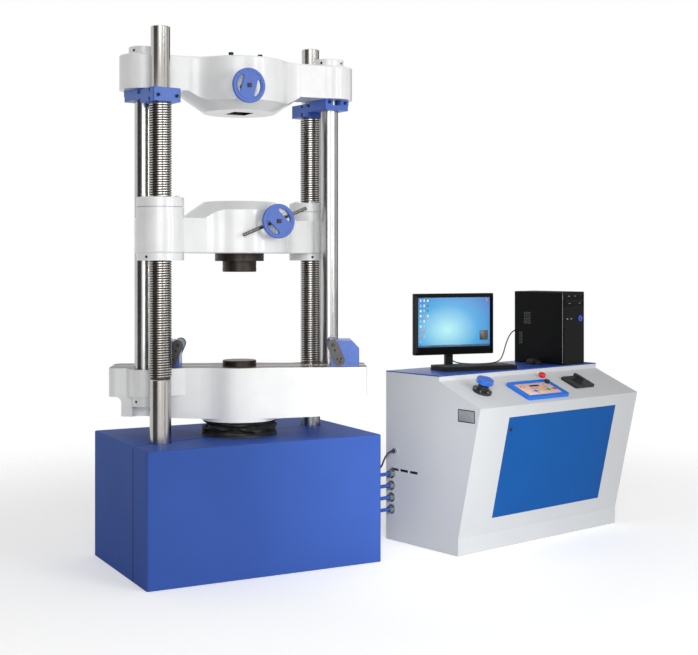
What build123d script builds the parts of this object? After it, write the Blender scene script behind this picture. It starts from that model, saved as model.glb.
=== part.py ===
from build123d import *
import os
from math import atan2, degrees, hypot, pi, radians, tan

# Driving dimensions, millimetres. The origin is the machine axis on the floor,
# +X runs to the right along the upper crosshead, the front faces -Y, +Z is up.
running_gap = 0.05
slide_gap = 0.3
edge_chamfer = 3

# Base cabinet
base_height = 650
base_side_margin = 153
base_front = 379
base_rear = 461
cover_sheet = 4
cover_seam = 1.2
cover_corner = 14
cover_hole_gap = 4
bellows_diameter = 409
bellows_bore = 300
bellows_seat_hole = 380

# Bed casting, bearings and screw drive inside the base
bed_plate = 60
bed_corner = 20
bed_wall_height = 140
bed_wall_thickness = 70
bed_wall_end = 99
chain_lane = 160
bearing_length = 220
bearing_height = 70
journal_diameter = 90
journal_foot = 25
collar_diameter = 150
collar_height = 25
sprocket_diameter = 124
sprocket_height = 16
sprocket_lift = 40
sprocket_teeth = 16
chain_thickness = 10
chain_height = 20
gearbox_side = 190
gearbox_corner = 16
gearbox_height = 120
gearbox_foot = 30
motor_diameter = 150
motor_length = 300
motor_fins = 16
motor_fin_depth = 8
motor_fin_width = 5
motor_fin_start = 30
motor_fin_length = 200

# Main cylinder and ram
ram_diameter = 250
cylinder_diameter = 340
cylinder_flange_diameter = 400
cylinder_flange = 40
cylinder_top = 632
ram_floor_gap = 5

# Screws
screw_x = 473
screw_y = 132
shank_diameter = 105
thread_diameter = 110
guide_diameter = 95
thread_start = 961
thread_end = 2300
screw_top = 2679
screw_chamfer = 4

# Columns and their nuts
column_x = 497
column_y = -42
column_diameter = 95
column_foot = 815
cap_nut_diameter = 152
cap_nut_height = 42
cap_nut_wall = 12
foot_nut_diameter = 120
spanner_hole_diameter = 14
spanner_hole_depth = 14

# Table
table_turn = -25
table_top = 1000
table_half_length = 650
table_half_width = 152
table_corner = 40
table_hub_radius = 195
table_hub_blend = 250
table_flange_bottom = 857
table_setback = 66
table_cove = 30
table_end_bottom = 760
table_bottom = 745
table_hub_bottom = 728
table_seat_diameter = 290
table_seat_bottom = 710
lug_radius = 78
lug_bottom = 864
lug_root_near = 270
lug_root_far = 545
lug_root_radius = 20
table_slot_width = 22
table_slot_depth = 14
platen_diameter = 173
platen_height = 28

# Crosshead casting, the same for both, measured from its hub face
hub_face_radius = 185
hub_cone_radius = 315
hub_wall_radius = 250
hub_drop = 90
casting_height = 262
arm_half_width = 104
boss_radius = 122
arm_blend = 130
casting_edge = 8
upper_hub_face = 2294
lower_hub_face = 1837

# Wedge grips
wedge_angle = 10
mouth_half_width = 55
cavity_half_depth = 65
cavity_height = 246
jaw_half_gap = 12
jaw_lift = 60
jaw_height = 150
rib_neck = 16
rib_head = 32
rib_step = 10
carrier_half_width = 78
carrier_height = 30
rack_width = 14
rack_depth = 26
rack_drop = 124
pinion_x = -80
pinion_z = 103
pinion_diameter = 44
pinion_length = 28
pocket_depth = 30
pocket_gap = 5

# Handwheels
wheel_diameter = 172
wheel_thickness = 16
wheel_reach = 305
wheel_groove_radius = 69
wheel_groove = 2
window_radius = 64
window_band = 72
window_corner = 8
wheel_hub_diameter = 52
wheel_hub_length = 18
upper_band_turn = -15
lower_band_turn = 45
shaft_diameter = 34
shaft_square = 20
shaft_nose = 6
bar_diameter = 18
bar_length = 372
bar_chamfer = 1.8
bar_tilt = 22
bar_reach = 266

# Nuts and rings on the middle crosshead
nut_diameter = 150
nut_flange_diameter = 230
nut_flange_height = 50
ring_groove = 3
ring_groove_diameter = 200
cap_ring_height = 46
lower_ring_height = 36

# Compression platen
press_flange_diameter = 251
press_flange_height = 39
press_disc_diameter = 174
press_disc_height = 55
press_groove = 3

# Guide brackets
bracket_clamp = 29
bracket_plate = 26
bracket_drop = 21
bracket_head_gap = 9
bracket_half_width = 74
bracket_corner = 8
bracket_slot = 14
bracket_slot_turn = 110
bracket_jaw = 50

# Bend supports
left_roller_at = 308
right_roller_at = 477
support_length = 135
support_nose = 8
support_height = 132
support_shoulder = 92
support_slope_run = 38
support_half_width = 90
roller_diameter = 50
roller_height = 110
trunnion_diameter = 20
plate_thickness = 12
plate_radius = 28
plate_foot_out = 33
plate_foot_up = 31

# Console
console_gap = 284
console_y = 70
console_turn = 12
console_width = 1300
console_sheet = 3
plinth_depth = 560
plinth_height = 90
front_depth = 720
front_height = 780
desk_depth = 420
desk_height = 930
desk_sheet = 6
riser = 24
door_left = 234
door_right = 182
door_top = 64
door_bottom = 85
door_thickness = 20
door_gap = 0.8
vent_length = 62
vent_height = 14
vent_height_at = 392
vent_from_rear = 70
vent_pitch = 76
tank_length = 560
tank_depth = 380
tank_height = 420
tank_from_side = 60
tank_from_rear = 60
tank_corner = 12
filler_diameter = 78
filler_height = 32
pump_gap = 40
pump_from_rear = 300
pump_motor_diameter = 190
pump_motor_length = 280
pump_side = 120
pump_length = 110
foot_plate = 20
foot_sink = 5

# Controls on the sloping panel, placed from its top left corner
valve_at = (178, 150)
valve_flange_diameter = 104
valve_flange = 14
valve_boss_diameter = 58
valve_boss = 26
valve_boss_edge = 2
valve_stem_diameter = 20
valve_wheel_diameter = 92
valve_wheel_height = 24
valve_wheel_lobes = 6
valve_wheel_dip = 12
valve_wheel_edge = 4
valve_wheel_lift = 12
release_at = (300, 62)
release_diameter = 46
release_height = 30
release_edge = 5
release_stem_diameter = 16
estop_at = (750, 58)
estop_diameter = 42
estop_height = 16
estop_travel = 6
estop_stem_diameter = 24
panel_at = (568, 198)
panel_width = 330
panel_length = 182
panel_height = 18
panel_rim = 12
panel_recess = 3
panel_knob_at = (126, 52)
panel_knob_diameter = 26
panel_knob_height = 18
panel_knob_flutes = 12
panel_knob_flute_depth = 1
panel_stem_diameter = 8
isolator_at = (955, 154)
isolator_width = 165
isolator_length = 124
isolator_height = 14
isolator_hub_diameter = 44
isolator_hub_height = 16
isolator_bar_length = 74
isolator_bar_width = 18
isolator_bar_height = 16
isolator_stem_diameter = 12
stem_length = 20

# Computer on the desk, placed from the rear corners of the desk
monitor_at = 431
monitor_neck_from_rear = 54
monitor_turn = -18
monitor_width = 500
monitor_height = 346
monitor_depth = 26
monitor_bulge_width = 330
monitor_bulge_height = 220
monitor_bulge = 22
monitor_foot_gap = 76
monitor_pivot = 235
monitor_pivot_back = 26
monitor_ear = 12
monitor_ear_gap = 46
monitor_pin_diameter = 12
monitor_corner = 6
stand_width = 230
stand_length = 120
stand_thickness = 14
stand_corner = 40
neck_head = 18
neck_width = 44
neck_depth = 26
cable_hole_height = 60
keyboard_at = (432, 257)
keyboard_turn = -18
keyboard_width = 460
keyboard_length = 170
keyboard_height = 22
keyboard_front_angle = 90
keyboard_rear_angle = 75
keyboard_corner = 5.5
mouse_from_right = 355
mouse_from_rear = 250
mouse_turn = -18
mouse_width = 66
mouse_length = 114
mouse_height = 36
mouse_corner = 30
mouse_crown = 26
tower_from_right = 305
tower_from_rear = 50
tower_turn = 4
tower_width = 195
tower_depth = 350
tower_height = 425
tower_bezel = 14
tower_edge = 6

# Hydraulic pipes between base and console
pipe_heights = (367, 302, 237, 172)
pipe_diameter = 20
pipe_from_rear = 50
pipe_bend_at = 150
pipe_bend_radius = 200
fitting_diameter = 38
fitting_length = 26
fitting_flange_diameter = 52
fitting_flange = 6

# Cords
cord_diameter = 7
cord_leave = ((30, 0, 190), (30, 26, 190), (0, 40, 160))
cord_run = (
    (-38, 38, 106),
    (-80, 20, 48),
    (-140, -8, 12),
    (-220, -26, 5),
    (-305, -14, 4),
    (-385, 14, 6),
    (-455, 36, 14),
    (-505, 42, 36),
)
cord_arrive = 26
lead_diameter = 10
lead_out_height = 496
lead_out_from_rear = 79
lead_in_height = 300
lead_in_y = 60
gland_diameter = 26
gland_length = 16
lead_leave = ((46, 0, 0), (78, 6, -34), (100, 14, -92))
lead_arrive = ((156, 8, 46), (92, 0, 0))

os.makedirs("parts", exist_ok=True)

up = (Align.CENTER, Align.CENTER, Align.MIN)
down = (Align.CENTER, Align.CENTER, Align.MAX)
screw_points = {"left": (-screw_x, -screw_y), "right": (screw_x, screw_y)}
column_points = {"left": (-column_x, -column_y), "right": (column_x, column_y)}
screw_span = hypot(screw_x, screw_y)
base_half_width = screw_x + base_side_margin
bed_wall_length = 2 * (screw_span + bed_wall_end)
console_x = base_half_width + console_gap
pump_from_side = tank_from_side + tank_length + pump_gap + pump_motor_length / 2
bed_wall_top = bed_plate + bed_wall_height
bearing_top = bed_wall_top + bearing_height
sprocket_bottom = bed_plate + sprocket_lift
casting_top_upper = upper_hub_face + casting_height
casting_base_lower = lower_hub_face - casting_height
arm_level_upper = upper_hub_face + hub_drop
arm_level_lower = lower_hub_face - hub_drop

# Planes that the pieces stand on
drive_plane = Plane(origin=(0, 0, 0), x_dir=(screw_x, screw_y, 0), z_dir=(0, 0, 1))
split_plane = Plane(origin=(0, 0, 0), x_dir=(screw_x, screw_y, 0), z_dir=(-screw_y, screw_x, 0))
table_plane = Plane(Location((0, 0, 0), (0, 0, table_turn)))
upper_plane = Plane(origin=(0, 0, upper_hub_face), x_dir=(1, 0, 0), z_dir=(0, 0, 1))
lower_plane = Plane(origin=(0, 0, lower_hub_face), x_dir=(-1, 0, 0), z_dir=(0, 0, -1))
console_plane = Plane(Location((console_x, console_y, 0), (0, 0, console_turn)))
desk_plane = console_plane.offset(desk_height)
monitor_spot = Location((monitor_at, -monitor_neck_from_rear, 0), (0, 0, monitor_turn))
keyboard_spot = Location((keyboard_at[0], -keyboard_at[1], 0), (0, 0, keyboard_turn))
mouse_spot = Location((console_width - mouse_from_right, -mouse_from_rear, 0), (0, 0, mouse_turn))
tower_spot = Location((console_width - tower_from_right, -tower_from_rear, 0), (0, 0, tower_turn))
monitor_plane = Plane(desk_plane * monitor_spot)
keyboard_plane = Plane(desk_plane * keyboard_spot)
mouse_plane = Plane(desk_plane * mouse_spot)
tower_plane = Plane(desk_plane * tower_spot)
monitor_axis = Axis(monitor_plane.origin, monitor_plane.y_dir)
tower_axis = Axis(tower_plane.origin, tower_plane.y_dir)


def side_of(plane):
    """Upright plane through the origin of a plane, seen from its front."""
    return Plane(origin=plane.origin, x_dir=plane.x_dir, z_dir=-plane.y_dir)


def profile_of(plane):
    """Upright plane through the origin of a plane, seen from its right end."""
    return Plane(origin=plane.origin, x_dir=plane.y_dir, z_dir=plane.x_dir)


# Bed: floor plate with two walls that leave a lane for the chain
with BuildPart() as base_bed:
    with BuildSketch():
        with Locations((0, (base_rear - base_front) / 2)):
            RectangleRounded(
                2 * (base_half_width - cover_sheet),
                base_front + base_rear - 2 * cover_sheet,
                bed_corner,
            )
    extrude(amount=bed_plate)
    with BuildSketch(drive_plane.offset(bed_plate)):
        with GridLocations(0, chain_lane + bed_wall_thickness, 1, 2):
            Rectangle(bed_wall_length, bed_wall_thickness)
    extrude(amount=bed_wall_height)


# Sheet covers: one box of sheet metal, parted on the plane through both screws
def base_cover(kept, seam_side):
    with BuildPart() as cover:
        with BuildSketch():
            with Locations((0, (base_rear - base_front) / 2)):
                RectangleRounded(2 * base_half_width, base_front + base_rear, cover_corner)
        extrude(amount=base_height)
        fillet(cover.faces().sort_by(Axis.Z)[-1].edges(), cover_corner / 2)
        with BuildSketch():
            with Locations((0, (base_rear - base_front) / 2)):
                RectangleRounded(
                    2 * (base_half_width - cover_sheet),
                    base_front + base_rear - 2 * cover_sheet,
                    cover_corner - cover_sheet,
                )
        extrude(amount=base_height - cover_sheet, mode=Mode.SUBTRACT)
        with Locations(*[(x, y, base_height) for x, y in screw_points.values()]):
            Cylinder(shank_diameter / 2 + cover_hole_gap, 4 * cover_sheet, mode=Mode.SUBTRACT)
        with Locations((0, 0, base_height)):
            Cylinder(bellows_seat_hole / 2, 4 * cover_sheet, mode=Mode.SUBTRACT)
        split(bisect_by=split_plane.offset(seam_side * cover_seam / 2), keep=kept)
    return cover


front_cover = base_cover(Keep.BOTTOM, -1)
rear_cover = base_cover(Keep.TOP, 1)

# Main cylinder bolted over the lane, bored for the ram
with BuildPart(Plane.XY.offset(bed_wall_top)) as main_cylinder:
    Cylinder(cylinder_diameter / 2, cylinder_top - bed_wall_top, align=up)
    Cylinder(cylinder_flange_diameter / 2, cylinder_flange, align=up)
    with Locations((0, 0, cylinder_flange)):
        Cylinder(ram_diameter / 2 + running_gap, cylinder_top, align=up, mode=Mode.SUBTRACT)

# Ram: rests just above the floor of the bore and carries the table
with BuildPart(Plane.XY.offset(bed_wall_top + cylinder_flange + ram_floor_gap)) as ram:
    ram_length = table_seat_bottom - bed_wall_top - cylinder_flange - ram_floor_gap
    Cylinder(ram_diameter / 2, ram_length, align=up)
    chamfer(ram.edges().sort_by(Axis.Z)[0], ram_floor_gap)

# Dust bellows between the cover and the table
with BuildPart(Plane.XY.offset(base_height)) as ram_bellows:
    bellows_height = table_hub_bottom - base_height
    Cylinder(bellows_diameter / 2, bellows_height, align=up)
    Cylinder(bellows_bore / 2, bellows_height, align=up, mode=Mode.SUBTRACT)

# Screw bearings: blocks that bridge the bed walls under each screw
with BuildPart(drive_plane.offset(bed_wall_top)) as screw_bearings:
    with GridLocations(2 * screw_span, 0, 2, 1):
        Box(bearing_length, chain_lane + 2 * bed_wall_thickness, bearing_height, align=up)
        Cylinder(
            journal_diameter / 2 + running_gap, bearing_height, align=up, mode=Mode.SUBTRACT
        )


# Lead screws: journal, thrust collar, shank, thread envelope and guided top
def lead_screw(point):
    foot = bed_plate + journal_foot
    collar_foot = bearing_top + slide_gap
    collar_top = collar_foot + collar_height
    with BuildPart() as screw:
        with BuildSketch(Plane(origin=(*point, 0), x_dir=(1, 0, 0), z_dir=(0, -1, 0))):
            with BuildLine():
                Polyline(
                    (0, foot),
                    (journal_diameter / 2, foot),
                    (journal_diameter / 2, collar_foot),
                    (collar_diameter / 2, collar_foot),
                    (collar_diameter / 2, collar_top),
                    (shank_diameter / 2, collar_top),
                    (shank_diameter / 2, thread_start - screw_chamfer),
                    (thread_diameter / 2, thread_start),
                    (thread_diameter / 2, thread_end - screw_chamfer),
                    (guide_diameter / 2, thread_end),
                    (guide_diameter / 2, screw_top - screw_chamfer),
                    (guide_diameter / 2 - screw_chamfer, screw_top),
                    (0, screw_top),
                    close=True,
                )
            make_face()
        revolve(axis=Axis((*point, 0), (0, 0, 1)))
    return screw


left_screw = lead_screw(screw_points["left"])
right_screw = lead_screw(screw_points["right"])


# Sprockets keyed on the journals
def sprocket(point):
    with BuildPart() as wheel:
        with BuildSketch(Plane((*point, sprocket_bottom))):
            Circle(sprocket_diameter / 2)
            Circle(journal_diameter / 2 + running_gap, mode=Mode.SUBTRACT)
            with PolarLocations(sprocket_diameter / 2, sprocket_teeth):
                Circle(pi * sprocket_diameter / sprocket_teeth / 4, mode=Mode.SUBTRACT)
        extrude(amount=sprocket_height)
    return wheel


left_sprocket = sprocket(screw_points["left"])
right_sprocket = sprocket(screw_points["right"])

# Chain round both sprockets, running in the lane under the cylinder
chain_inner = sprocket_diameter + 2 * slide_gap
with BuildPart() as drive_chain:
    with BuildSketch(drive_plane.offset(sprocket_bottom + (sprocket_height - chain_height) / 2)):
        SlotCenterToCenter(2 * screw_span, chain_inner + 2 * chain_thickness)
        SlotCenterToCenter(2 * screw_span, chain_inner, mode=Mode.SUBTRACT)
    extrude(amount=chain_height)

# Gear motor with a hollow output, standing on the left bearing
gearbox_bottom = bearing_top + slide_gap + collar_height + slide_gap
with BuildPart(Plane((*screw_points["left"], bearing_top))) as drive_motor:
    with BuildSketch(Plane((*screw_points["left"], gearbox_bottom))):
        RectangleRounded(gearbox_side, gearbox_side, gearbox_corner)
    extrude(amount=gearbox_height)
    Cylinder(gearbox_side / 2, gearbox_foot, align=up)
    Cylinder(
        collar_diameter / 2 + cover_hole_gap,
        gearbox_bottom - bearing_top,
        align=up,
        mode=Mode.SUBTRACT,
    )
    Cylinder(
        shank_diameter / 2 + running_gap, 2 * gearbox_height, align=up, mode=Mode.SUBTRACT
    )
    motor_face = Plane(
        origin=(-screw_x, -screw_y + gearbox_side / 2, gearbox_bottom + gearbox_height / 2),
        x_dir=(1, 0, 0),
        z_dir=(0, 1, 0),
    )
    with BuildSketch(motor_face):
        Circle(motor_diameter / 2)
    extrude(amount=motor_length)
    with BuildSketch(motor_face.offset(motor_fin_start)):
        with PolarLocations(motor_diameter / 2, motor_fins):
            Rectangle(2 * motor_fin_depth, motor_fin_width)
    extrude(amount=motor_fin_length)

# Table: flush casting with a round hub, column lugs, set-back ends and the ram seat
lug_point = table_plane.to_local_coords(Vector(*column_points["right"], 0))
body_half_length = table_half_length - table_setback
with BuildPart(table_plane) as table:
    with BuildSketch(table_plane.offset(table_bottom)) as plan:
        RectangleRounded(2 * table_half_length, 2 * table_half_width, table_corner)
        Circle(table_hub_radius)
        fillet(plan.vertices().sort_by_distance((0, 0, 0))[0:4], table_hub_blend)
    extrude(amount=table_top - table_bottom)
    with BuildSketch(side_of(table_plane)):
        with BuildLine():
            Polyline(
                (body_half_length, table_flange_bottom - table_cove),
                (body_half_length, table_end_bottom),
                (table_hub_radius, table_bottom),
                (-table_hub_radius, table_bottom),
                (-body_half_length, table_end_bottom),
                (-body_half_length, table_flange_bottom - table_cove),
            )
            RadiusArc(
                (-body_half_length, table_flange_bottom - table_cove),
                (-body_half_length - table_cove, table_flange_bottom),
                -table_cove,
            )
            Polyline(
                (-body_half_length - table_cove, table_flange_bottom),
                (-table_half_length, table_flange_bottom),
                (-table_half_length, table_top),
                (table_half_length, table_top),
                (table_half_length, table_flange_bottom),
                (body_half_length + table_cove, table_flange_bottom),
            )
            RadiusArc(
                (body_half_length + table_cove, table_flange_bottom),
                (body_half_length, table_flange_bottom - table_cove),
                -table_cove,
            )
        make_face()
    extrude(amount=table_hub_radius, both=True, mode=Mode.INTERSECT)
    for side in (-1, 1):
        with BuildSketch(table_plane.offset(lug_bottom)):
            with Locations((side * lug_point.X, side * lug_point.Y)):
                Circle(lug_radius)
            with Locations(
                (side * lug_root_near, side * (table_half_width - lug_root_radius)),
                (side * lug_root_far, side * (table_half_width - lug_root_radius)),
            ):
                Circle(lug_root_radius)
            make_hull()
        extrude(amount=table_top - lug_bottom)
    with Locations((0, 0, table_hub_bottom)):
        Cylinder(table_hub_radius, table_top - table_hub_bottom, align=up)
    with Locations((0, 0, table_seat_bottom)):
        Cylinder(table_seat_diameter / 2, table_top - table_seat_bottom, align=up)
    with Locations((0, 0, table_top)):
        Box(
            2 * table_half_length,
            table_slot_width,
            table_slot_depth,
            align=down,
            mode=Mode.SUBTRACT,
        )
    with Locations(lug_point + Vector(0, 0, lug_bottom), Vector(0, 0, lug_bottom) - lug_point):
        Cylinder(
            column_diameter / 2 + running_gap,
            table_top - lug_bottom,
            align=up,
            mode=Mode.SUBTRACT,
        )
        Cylinder(
            foot_nut_diameter / 2 + cover_hole_gap,
            lug_bottom - table_seat_bottom,
            align=down,
            mode=Mode.SUBTRACT,
        )

# Lower platen on the table
with BuildPart(Plane.XY.offset(table_top)) as table_platen:
    Cylinder(platen_diameter / 2, platen_height, align=up)
    chamfer(table_platen.edges().group_by(Axis.Z)[-1], press_groove)
    with BuildSketch(Plane.XY.offset(table_top + platen_height / 2)):
        Circle(platen_diameter / 2)
        Circle(platen_diameter / 2 - press_groove, mode=Mode.SUBTRACT)
    extrude(amount=press_groove, mode=Mode.SUBTRACT)

# Columns from the foot nuts to the cap nuts
column_end = casting_top_upper + cap_nut_height - cap_nut_wall
with BuildPart(Plane.XY.offset(column_foot)) as columns:
    with Locations(*[(x, y, 0) for x, y in column_points.values()]):
        Cylinder(column_diameter / 2, column_end - column_foot, align=up)

# Cap nuts on the upper crosshead and foot nuts under the table
with BuildPart() as column_nuts:
    cap_middle = casting_top_upper + cap_nut_height / 2
    foot_middle = (column_foot + lug_bottom) / 2
    with Locations(*[(x, y, casting_top_upper) for x, y in column_points.values()]):
        Cylinder(cap_nut_diameter / 2, cap_nut_height, align=up)
    chamfer(column_nuts.edges().group_by(Axis.Z)[-1], edge_chamfer)
    with Locations(*[(x, y, column_foot) for x, y in column_points.values()]):
        Cylinder(foot_nut_diameter / 2, lug_bottom - column_foot, align=up)
    with Locations(*[(x, y, column_foot) for x, y in column_points.values()]):
        Cylinder(
            column_diameter / 2 + running_gap,
            column_end - column_foot,
            align=up,
            mode=Mode.SUBTRACT,
        )
    for x, y in column_points.values():
        for height, nut in ((cap_middle, cap_nut_diameter), (foot_middle, foot_nut_diameter)):
            with Locations(Location((x, y, height))):
                with PolarLocations(nut / 2, 4, start_angle=-60):
                    Cylinder(
                        spanner_hole_diameter / 2,
                        2 * spanner_hole_depth,
                        rotation=(0, 90, 0),
                        mode=Mode.SUBTRACT,
                    )


# Crosshead casting: round hub with a cone, two arms with bosses, wedge cavity
def crosshead_casting(plane, bosses, hole_diameter):
    side_plane = side_of(plane)
    cavity_flare = cavity_height * tan(radians(wedge_angle))
    with BuildPart(plane) as casting:
        with BuildSketch(plane) as outline:
            Circle(hub_wall_radius)
            for x, y in bosses:
                with Locations(Location((x / 2, y / 2, 0), (0, 0, degrees(atan2(y, x))))):
                    Rectangle(hypot(x, y), 2 * arm_half_width)
                with Locations((x, y)):
                    Circle(boss_radius)
            fillet(outline.vertices().sort_by_distance((0, 0, 0))[0:4], arm_blend)
        extrude(amount=casting_height)
        with BuildSketch(side_plane):
            with BuildLine():
                Polyline(
                    (0, 0),
                    (hub_face_radius, 0),
                    (hub_cone_radius, hub_drop),
                    (2 * column_x, hub_drop),
                    (2 * column_x, casting_height),
                    (0, casting_height),
                    close=True,
                )
            make_face()
        revolve(axis=Axis(plane.origin, plane.z_dir), mode=Mode.INTERSECT)
        fillet(casting.faces().sort_by(Axis(plane.origin, plane.z_dir))[-1].edges(), casting_edge)
        with BuildSketch(side_plane):
            with BuildLine():
                Polyline(
                    (-mouth_half_width, 0),
                    (mouth_half_width, 0),
                    (mouth_half_width + cavity_flare, cavity_height),
                    (-mouth_half_width - cavity_flare, cavity_height),
                    close=True,
                )
            make_face()
        extrude(amount=cavity_half_depth, both=True, mode=Mode.SUBTRACT)
        lane_foot = pinion_z - jaw_lift - rack_depth
        with Locations((pinion_x + pinion_diameter / 2 - slide_gap, -cavity_half_depth, lane_foot)):
            Box(
                rack_width + pocket_gap,
                pocket_depth,
                cavity_height - lane_foot,
                align=(Align.MIN, Align.MAX, Align.MIN),
                mode=Mode.SUBTRACT,
            )
        with Locations((pinion_x, -cavity_half_depth, pinion_z)):
            Cylinder(
                pinion_diameter / 2 + pocket_gap,
                pocket_depth,
                rotation=(90, 0, 0),
                align=up,
                mode=Mode.SUBTRACT,
            )
            Cylinder(
                shaft_diameter / 2 + running_gap,
                hub_wall_radius,
                rotation=(90, 0, 0),
                align=up,
                mode=Mode.SUBTRACT,
            )
        with Locations(*[(x, y, hub_drop) for x, y in bosses]):
            Cylinder(hole_diameter / 2 + running_gap, casting_height, align=up, mode=Mode.SUBTRACT)
    return casting


upper_crosshead = crosshead_casting(
    upper_plane, list(column_points.values()), column_diameter
)
middle_crosshead = crosshead_casting(
    lower_plane, [(screw_x, -screw_y), (-screw_x, screw_y)], nut_diameter
)


# Wedge jaws: the outer face follows the cavity wall, a T rib hangs in the carrier
def wedge_jaw(plane, side):
    jaw_top = jaw_lift + jaw_height
    flare = tan(radians(wedge_angle))
    face = mouth_half_width - slide_gap
    rib_start = jaw_half_gap + edge_chamfer
    rib_length = carrier_half_width - rib_start - edge_chamfer
    with BuildPart(plane) as jaw:
        with BuildSketch(side_of(plane)):
            with BuildLine():
                Polyline(
                    (side * jaw_half_gap, jaw_lift),
                    (side * (face + jaw_lift * flare), jaw_lift),
                    (side * (face + jaw_top * flare), jaw_top),
                    (side * jaw_half_gap, jaw_top),
                    close=True,
                )
            make_face()
        extrude(amount=cavity_half_depth - slide_gap, both=True)
        with Locations((side * (rib_start + rib_length / 2), 0, jaw_top)):
            Box(rib_length, rib_neck, rib_step + 2 * slide_gap, align=up)
        rib_top = jaw_top + rib_step + 2 * slide_gap
        with Locations((side * (rib_start + rib_length / 2), 0, rib_top)):
            Box(rib_length, rib_head, rib_step - 2 * slide_gap, align=up)
    return jaw


upper_left_jaw = wedge_jaw(upper_plane, -1)
upper_right_jaw = wedge_jaw(upper_plane, 1)
lower_left_jaw = wedge_jaw(lower_plane, 1)
lower_right_jaw = wedge_jaw(lower_plane, -1)


# Jaw carriers: plate with a T slot over both jaws and a rack down to the pinion
def jaw_carrier(plane):
    foot = jaw_lift + jaw_height + slide_gap
    rack_face = pinion_x + pinion_diameter / 2 + slide_gap
    with BuildPart(plane) as carrier:
        with Locations((0, 0, foot)):
            Box(2 * carrier_half_width, 2 * (cavity_half_depth - slide_gap), carrier_height, align=up)
            Box(
                2 * carrier_half_width,
                rib_neck + 2 * slide_gap,
                2 * rib_step,
                align=up,
                mode=Mode.SUBTRACT,
            )
        with Locations((0, 0, foot + rib_step)):
            Box(
                2 * carrier_half_width,
                rib_head + 2 * slide_gap,
                rib_step,
                align=up,
                mode=Mode.SUBTRACT,
            )
        with Locations((rack_face, -cavity_half_depth + slide_gap, foot + carrier_height)):
            Box(
                rack_width,
                rack_depth + slide_gap,
                rack_drop + carrier_height,
                align=(Align.MIN, Align.MAX, Align.MAX),
            )
    return carrier


upper_jaw_carrier = jaw_carrier(upper_plane)
lower_jaw_carrier = jaw_carrier(lower_plane)


# Pinion shafts: square nose for the wheel, round shaft, plain pinion at the rack
def pinion_shaft(plane, cross_hole):
    def station(reach):
        return Plane(
            origin=plane.from_local_coords((pinion_x, -reach, pinion_z)),
            x_dir=(1, 0, 0),
            z_dir=(0, 1, 0),
        )

    nose_reach = wheel_reach + wheel_thickness / 2 + shaft_nose
    shoulder = wheel_reach - wheel_thickness / 2 - wheel_hub_length
    pinion_reach = cavity_half_depth + pocket_depth - slide_gap
    with BuildPart() as shaft:
        with BuildSketch(station(nose_reach)):
            RectangleRounded(shaft_square, shaft_square, edge_chamfer / 2)
        extrude(amount=nose_reach - shoulder)
        with BuildSketch(station(shoulder)):
            Circle(shaft_diameter / 2)
        extrude(amount=shoulder - pinion_reach)
        with BuildSketch(station(pinion_reach)):
            Circle(pinion_diameter / 2)
        extrude(amount=pinion_length)
        if cross_hole:
            hub = plane.from_local_coords((pinion_x, -bar_reach, pinion_z))
            with Locations(Location(hub, (0, 90 - bar_tilt, 0))):
                Cylinder(bar_diameter / 2 + running_gap, 2 * shaft_diameter, mode=Mode.SUBTRACT)
    return shaft


upper_pinion_shaft = pinion_shaft(upper_plane, False)
lower_pinion_shaft = pinion_shaft(lower_plane, True)


# Handwheels: grooved disc with two segment windows and a square hub
def handwheel(plane, band_turn):
    front = Plane(
        origin=plane.from_local_coords((pinion_x, -wheel_reach - wheel_thickness / 2, pinion_z)),
        x_dir=(1, 0, 0),
        z_dir=(0, -1, 0),
    )
    with BuildPart(front) as wheel:
        with BuildSketch(front):
            Circle(wheel_diameter / 2)
        extrude(amount=-wheel_thickness)
        fillet(wheel.edges(), wheel_thickness / 4)
        with BuildSketch(front):
            Circle(wheel_groove_radius + wheel_groove)
            Circle(wheel_groove_radius - wheel_groove, mode=Mode.SUBTRACT)
        extrude(amount=-wheel_groove, mode=Mode.SUBTRACT)
        with BuildSketch(front) as windows:
            Circle(window_radius)
            Rectangle(window_band, wheel_diameter, rotation=band_turn, mode=Mode.SUBTRACT)
            fillet(windows.vertices(), window_corner)
        extrude(amount=-wheel_thickness, mode=Mode.SUBTRACT)
        with BuildSketch(front.offset(-wheel_thickness)):
            Circle(wheel_hub_diameter / 2)
        extrude(amount=-wheel_hub_length)
        with BuildSketch(front):
            Rectangle(shaft_square + 2 * running_gap, shaft_square + 2 * running_gap)
        extrude(amount=-wheel_thickness - wheel_hub_length, mode=Mode.SUBTRACT)
    return wheel


upper_handwheel = handwheel(upper_plane, upper_band_turn)
lower_handwheel = handwheel(lower_plane, lower_band_turn)

# Tommy bar through the lower shaft
bar_centre = lower_plane.from_local_coords((pinion_x, -bar_reach, pinion_z))
with BuildPart(Plane(Location(bar_centre, (0, 90 - bar_tilt, 0)))) as tommy_bar:
    Cylinder(bar_diameter / 2, bar_length)
    chamfer(tommy_bar.edges(), bar_chamfer)

# Flanged screw nuts in the bosses of the middle crosshead
with BuildPart() as screw_nuts:
    with Locations(*[(x, y, casting_base_lower) for x, y in screw_points.values()]):
        Cylinder(nut_diameter / 2, casting_height - hub_drop, align=up)
    with Locations(*[(x, y, arm_level_lower) for x, y in screw_points.values()]):
        Cylinder(nut_flange_diameter / 2, nut_flange_height, align=up)
    with Locations(*[(x, y, casting_base_lower) for x, y in screw_points.values()]):
        Cylinder(thread_diameter / 2 + slide_gap, casting_height, align=up, mode=Mode.SUBTRACT)

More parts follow.
